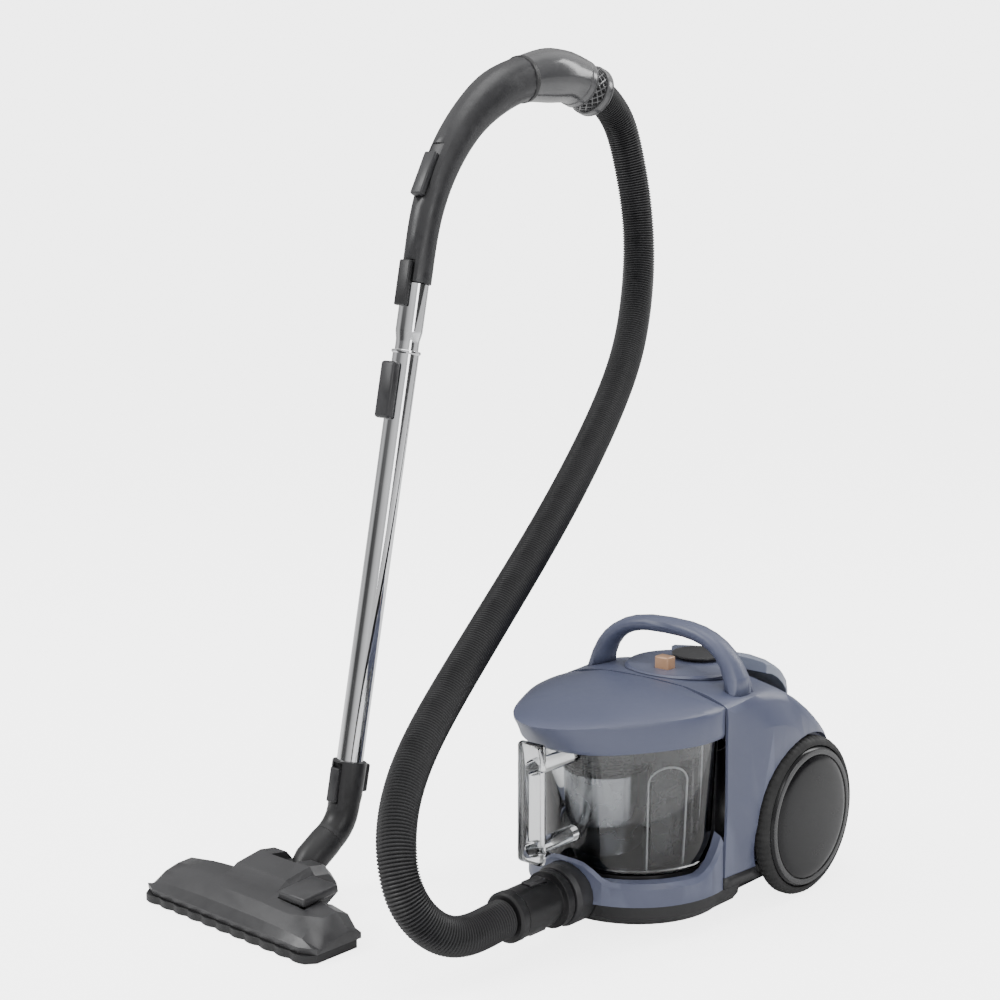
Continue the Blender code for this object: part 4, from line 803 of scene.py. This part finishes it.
# two raised guide ribs, joined by a round arch, are moulded on the inner face of the vessel; their pale
# grey is a painted highlight, the bright lines that light draws along them
guide_path = []
for i in range(12):
    guide_path.append((48.0, 0.0680 + 0.0075 * i))
for i in range(13):
    turn = math.pi * i / 12.0
    guide_path.append((61.0 - 13.0 * math.cos(turn), 0.1560 + 0.0160 * math.sin(turn)))
for i in range(12):
    guide_path.append((74.0, 0.1505 - 0.0075 * i))
guide_points = []
for angle, z in guide_path:
    turn = math.radians(angle)
    reach = 0.0862 + (z - 0.0680) * 0.050
    guide_points.append(CENTRE + Vector((math.sin(turn) * reach, -math.cos(turn) * reach, z)))
RIB_PAINTED_HIGHLIGHT = moulded("rib_painted_highlight", (0.42, 0.43, 0.44), (0.36, 0.37, 0.38), (0.7, 0.7, 0.7), (0.12, 0.22),
                    grain=900.0, scuff_and_sheen_amount=0.2, Coat_Weight=0.4)
guide_ribs = bent_rod("guide_ribs", guide_points, 0.0011, RIB_PAINTED_HIGHLIGHT)
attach(guide_ribs, "dust_container")

SEAL = moulded("seal_rubber", (0.012, 0.012, 0.012), (0.008, 0.008, 0.008), (0.04, 0.04, 0.04),
               (0.55, 0.75), grain=1400.0, scuff_and_sheen_amount=0.3)
softened("lid_seal", "lid_gasket", "dust_container", SEAL, 0.0)


# ---- release button and suction dial ---------------------------------------------------------------
# The button that frees the container is ABS with a satin copper lacquer; it stands in front of the
# dark rotary dial for the motor's power, which has a fluted edge and a raised pointer.
COPPER = moulded("copper_lacquer", (0.50, 0.285, 0.165), (0.44, 0.25, 0.142), (0.72, 0.48, 0.32),
                 (0.30, 0.42), grain=2600.0, depth=0.00002, scuff_and_sheen_amount=0.6, Metallic=0.20)
softened("release_button", "release_key", "button", COPPER, 0.0010, steps=3)


# ---- rear wheels ---------------------------------------------------------------------------------
# Each wheel is a black ABS dish snapped on its steel axle, with a high-gloss domed cover, a turned
# step near the rim and a soft dull tyre whose tread is cut across every few degrees.
WHEEL_GLOSS = moulded("wheel_gloss_black", (0.006, 0.006, 0.007), (0.004, 0.004, 0.005), (0.03, 0.03, 0.03),
                      (0.16, 0.28), grain=1300.0, depth=0.00001, scuff_and_sheen_amount=0.4, Specular_IOR_Level=0.22,
                      Coat_Weight=0.12, Coat_Roughness=0.06)
WHEEL_RING = moulded("wheel_ring_grey", (0.030, 0.030, 0.032), (0.022, 0.022, 0.024), (0.10, 0.10, 0.10),
                     (0.18, 0.30), grain=1600.0, depth=0.00002, scuff_and_sheen_amount=0.4)
TYRE = moulded("tyre_rubber", (0.008, 0.008, 0.008), (0.006, 0.006, 0.006), (0.04, 0.04, 0.042),
               (0.55, 0.78),
               grain=1100.0, depth=0.00008, scuff_and_sheen_amount=0.8)
COVER = []
for i in range(17):
    share = i / 16.0
    COVER.append((0.0640 * share, 0.1234 + 0.0043 * math.sqrt(max(0.0, 1.0 - share ** 2.0))))
COVER += [(0.0643, 0.1228), (0.0650, 0.1225), (0.0654, 0.1231), (0.0684, 0.1234), (0.0715, 0.1228),
          (0.0732, 0.1212), (0.0738, 0.1195), (0.0738, 0.1076), (0.0666, 0.1076), (0.0646, 0.1165),
          (0.0130, 0.1165), (0.0118, 0.1047), (0.0044, 0.1047), (0.0044, 0.1158), (0.0, 0.1158)]
for side, word in ((1.0, "left"), (-1.0, "right")):
    wheel_place = (Matrix.Translation(CENTRE + Vector((0.0, 0.147, 0.0835)))
                   @ Matrix.Rotation(side * math.pi / 2.0, 4, "Y"))
    cover = turned_piece("wheel_cover_" + word, COVER, WHEEL_GLOSS, wheel_place, 96)
    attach(cover, "rear_wheel_" + word)
    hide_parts("wheel_" + word)
    ring = turned_piece("wheel_ring_" + word, (
        (0.0652, 0.1221), (0.0656, 0.1238), (0.0684, 0.1241), (0.0708, 0.1236), (0.0712, 0.1221),
        (0.0652, 0.1221)), WHEEL_RING, wheel_place, 96)
    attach(ring, "rear_wheel_" + word)
    tread = bmesh.new()
    section = ((0.0744, 0.1208), (0.0762, 0.1216), (0.0788, 0.1206), (0.0815, 0.1182), (0.0834, 0.1142),
               (0.0834, 0.1084), (0.0815, 0.1060), (0.0785, 0.1047), (0.0744, 0.1047))
    around = 288
    rings = []
    for i in range(around):
        turn = 2.0 * math.pi * i / around
        deep = 0.0007 if i % 4 == 0 else 0.0
        row = []
        for radius, along in section:
            reach = radius - (deep if radius > 0.081 else 0.0)
            row.append(tread.verts.new((reach * math.cos(turn), reach * math.sin(turn), along)))
        rings.append(row)
    for i in range(around):
        first = rings[i]
        second = rings[(i + 1) % around]
        for k in range(len(section)):
            after = (k + 1) % len(section)
            tread.faces.new((first[k], first[after], second[after], second[k]))
    bmesh.ops.recalc_face_normals(tread, faces=tread.faces)
    tread_mesh = bpy.data.meshes.new("tyre_tread_" + word)
    tread.to_mesh(tread_mesh)
    tread.free()
    tread_mesh.materials.append(TYRE)
    tread_mesh.shade_smooth()
    tread_mesh.set_sharp_from_angle(angle=math.radians(35.0))
    tyre = bpy.data.objects.new("tyre_tread_" + word, tread_mesh)
    tyre.matrix_world = wheel_place
    bpy.context.scene.collection.objects.link(tyre)
    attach(tyre, "rear_wheel_" + word)
    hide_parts("tyre_" + word)


# ---- small turned parts and inner works ------------------------------------------------------------
# Axles, pins, the reel's spindle and the fan are plain bright steel; the small wheels under the
# caster and the nozzle are dull rubber.
STEEL = polished_metal("bright_steel", (0.52, 0.52, 0.53), (0.44, 0.44, 0.45), (0.22, 0.36),
                       (1.0, 0.1, 1.0), 0.00002)
for node, name, body in (
        ("axle_left", "left_axle_rod", "canister"), ("axle_right", "right_axle_rod", "canister"),
        ("caster_pin", "caster_pin_rod", "caster_fork"), ("motor_impeller", "fan_wheel", "impeller"),
        ("neck_pin", "neck_pin_rod", "neck"), ("reel_spindle", "reel_axle_rod", "canister")):
    softened(node, name, body, STEEL, 0.0002)
for node, name, body in (("caster_wheel", "caster_tread", "caster_roller"),
                         ("roller_left", "left_floor_wheel", "floor_roller_left"),
                         ("roller_right", "right_floor_wheel", "floor_roller_right")):
    softened(node, name, body, TYRE, 0.0004)
softened("cord_reel", "cable_drum", "reel", BLACK, 0.0004)


# ---- filters ---------------------------------------------------------------------------------------
# The motor filter is a block of open-cell foam; the outlet filter is folded paper in a card frame.
def fibrous(name, colour, shade, scale, depth, rough):
    """A soft, open surface: cells or fibres as bump, and a mottled colour."""
    made = bpy.data.materials.new(name)
    made.use_nodes = True
    tree = made.node_tree
    shader = tree.nodes["Principled BSDF"]
    where = tree.nodes.new("ShaderNodeTexCoord")
    cells = tree.nodes.new("ShaderNodeTexVoronoi")
    cells.inputs["Scale"].default_value = scale
    mottle = tree.nodes.new("ShaderNodeTexNoise")
    mottle.inputs["Scale"].default_value = scale * 0.2
    mottle.inputs["Detail"].default_value = 4.0
    tone = tree.nodes.new("ShaderNodeValToRGB")
    tone.color_ramp.elements[0].color = (*shade, 1.0)
    tone.color_ramp.elements[1].color = (*colour, 1.0)
    dull = tree.nodes.new("ShaderNodeMapRange")
    dull.inputs["To Min"].default_value = rough[0]
    dull.inputs["To Max"].default_value = rough[1]
    bump = tree.nodes.new("ShaderNodeBump")
    bump.inputs["Strength"].default_value = 0.6
    bump.inputs["Distance"].default_value = depth
    tree.links.new(where.outputs["Object"], cells.inputs["Vector"])
    tree.links.new(where.outputs["Object"], mottle.inputs["Vector"])
    tree.links.new(mottle.outputs["Fac"], tone.inputs["Fac"])
    tree.links.new(mottle.outputs["Fac"], dull.inputs["Value"])
    tree.links.new(tone.outputs["Color"], shader.inputs["Base Color"])
    tree.links.new(dull.outputs["Result"], shader.inputs["Roughness"])
    tree.links.new(cells.outputs["Distance"], bump.inputs["Height"])
    tree.links.new(bump.outputs["Normal"], shader.inputs["Normal"])
    made.diffuse_color = (*colour, 1.0)
    return made


FOAM = fibrous("filter_foam", (0.050, 0.055, 0.060), (0.020, 0.022, 0.026), 900.0, 0.0006, (0.85, 0.98))
PAPER = fibrous("filter_paper", (0.70, 0.69, 0.65), (0.56, 0.55, 0.50), 1600.0, 0.0001, (0.80, 0.95))
softened("pre_filter", "foam_filter", "canister", FOAM, 0.0010)

PLEATS = 18
paper_low, paper_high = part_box("exhaust_filter")
pleat_form = bmesh.new()
pleat_rows = []
for i in range(2 * PLEATS + 1):
    x = paper_low.x + 0.002 + (paper_high.x - paper_low.x - 0.004) * i / (2.0 * PLEATS)
    y = paper_low.y + 0.0008 if i % 2 == 0 else paper_high.y - 0.0008
    pleat_rows.append((pleat_form.verts.new((x, y, paper_low.z + 0.002)),
                       pleat_form.verts.new((x, y, paper_high.z - 0.002))))
for first, second in zip(pleat_rows, pleat_rows[1:]):
    pleat_form.faces.new((first[0], second[0], second[1], first[1]))
pleat_mesh = bpy.data.meshes.new("pleated_filter")
pleat_form.to_mesh(pleat_mesh)
pleat_form.free()
pleat_mesh.materials.append(PAPER)
pleats = bpy.data.objects.new("pleated_filter", pleat_mesh)
bpy.context.scene.collection.objects.link(pleats)
paper = pleats.modifiers.new("thickness", "SOLIDIFY")
paper.thickness = 0.0005
paper.offset = 0.0
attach(pleats, "canister")
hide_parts("exhaust_filter")


# ---- bristle strip ---------------------------------------------------------------------------------
# A plastic holder with a row of nylon tufts, which the foot pedal lowers for hard floors.
BRISTLE = moulded("black_nylon_bristle", (0.012, 0.012, 0.013), (0.008, 0.008, 0.008), (0.05, 0.05, 0.05),
                  (0.45, 0.65), grain=3000.0, depth=0.00010, scuff_and_sheen_amount=0.5)
strip_low, strip_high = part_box("bristle_strip")
strip_middle = 0.5 * (strip_low.y + strip_high.y)
tuft_form = bmesh.new()


def tapered_bar(form, low_half, high_half, centre_x, low_z, high_z):
    """Adds a four-sided bar that tapers from one half size (x, y) to another."""
    rows = []
    for half, z in ((low_half, low_z), (high_half, high_z)):
        row = []
        for sx, sy in ((-1.0, -1.0), (1.0, -1.0), (1.0, 1.0), (-1.0, 1.0)):
            row.append(form.verts.new((centre_x + sx * half[0], strip_middle + sy * half[1], z)))
        rows.append(row)
    for k in range(4):
        after = (k + 1) % 4
        form.faces.new((rows[0][k], rows[0][after], rows[1][after], rows[1][k]))
    form.faces.new(list(reversed(rows[0])))
    form.faces.new(rows[1])


strip_length = strip_high.x - strip_low.x
tapered_bar(tuft_form, (0.5 * strip_length, 0.0029), (0.5 * strip_length, 0.0029),
            0.5 * (strip_low.x + strip_high.x), strip_low.z + 0.0075, strip_high.z)
for i in range(70):
    tapered_bar(tuft_form, (0.0014, 0.0026), (0.0009, 0.0016),
                strip_low.x + strip_length * (i + 0.5) / 70.0,
                strip_low.z, strip_low.z + 0.0076)
bmesh.ops.recalc_face_normals(tuft_form, faces=tuft_form.faces)
tuft_mesh = bpy.data.meshes.new("bristle_tufts")
tuft_form.to_mesh(tuft_mesh)
tuft_form.free()
tuft_mesh.materials.append(BRISTLE)
tufts = bpy.data.objects.new("bristle_tufts", tuft_mesh)
bpy.context.scene.collection.objects.link(tufts)
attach(tufts, "brush")
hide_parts("bristle_strip")
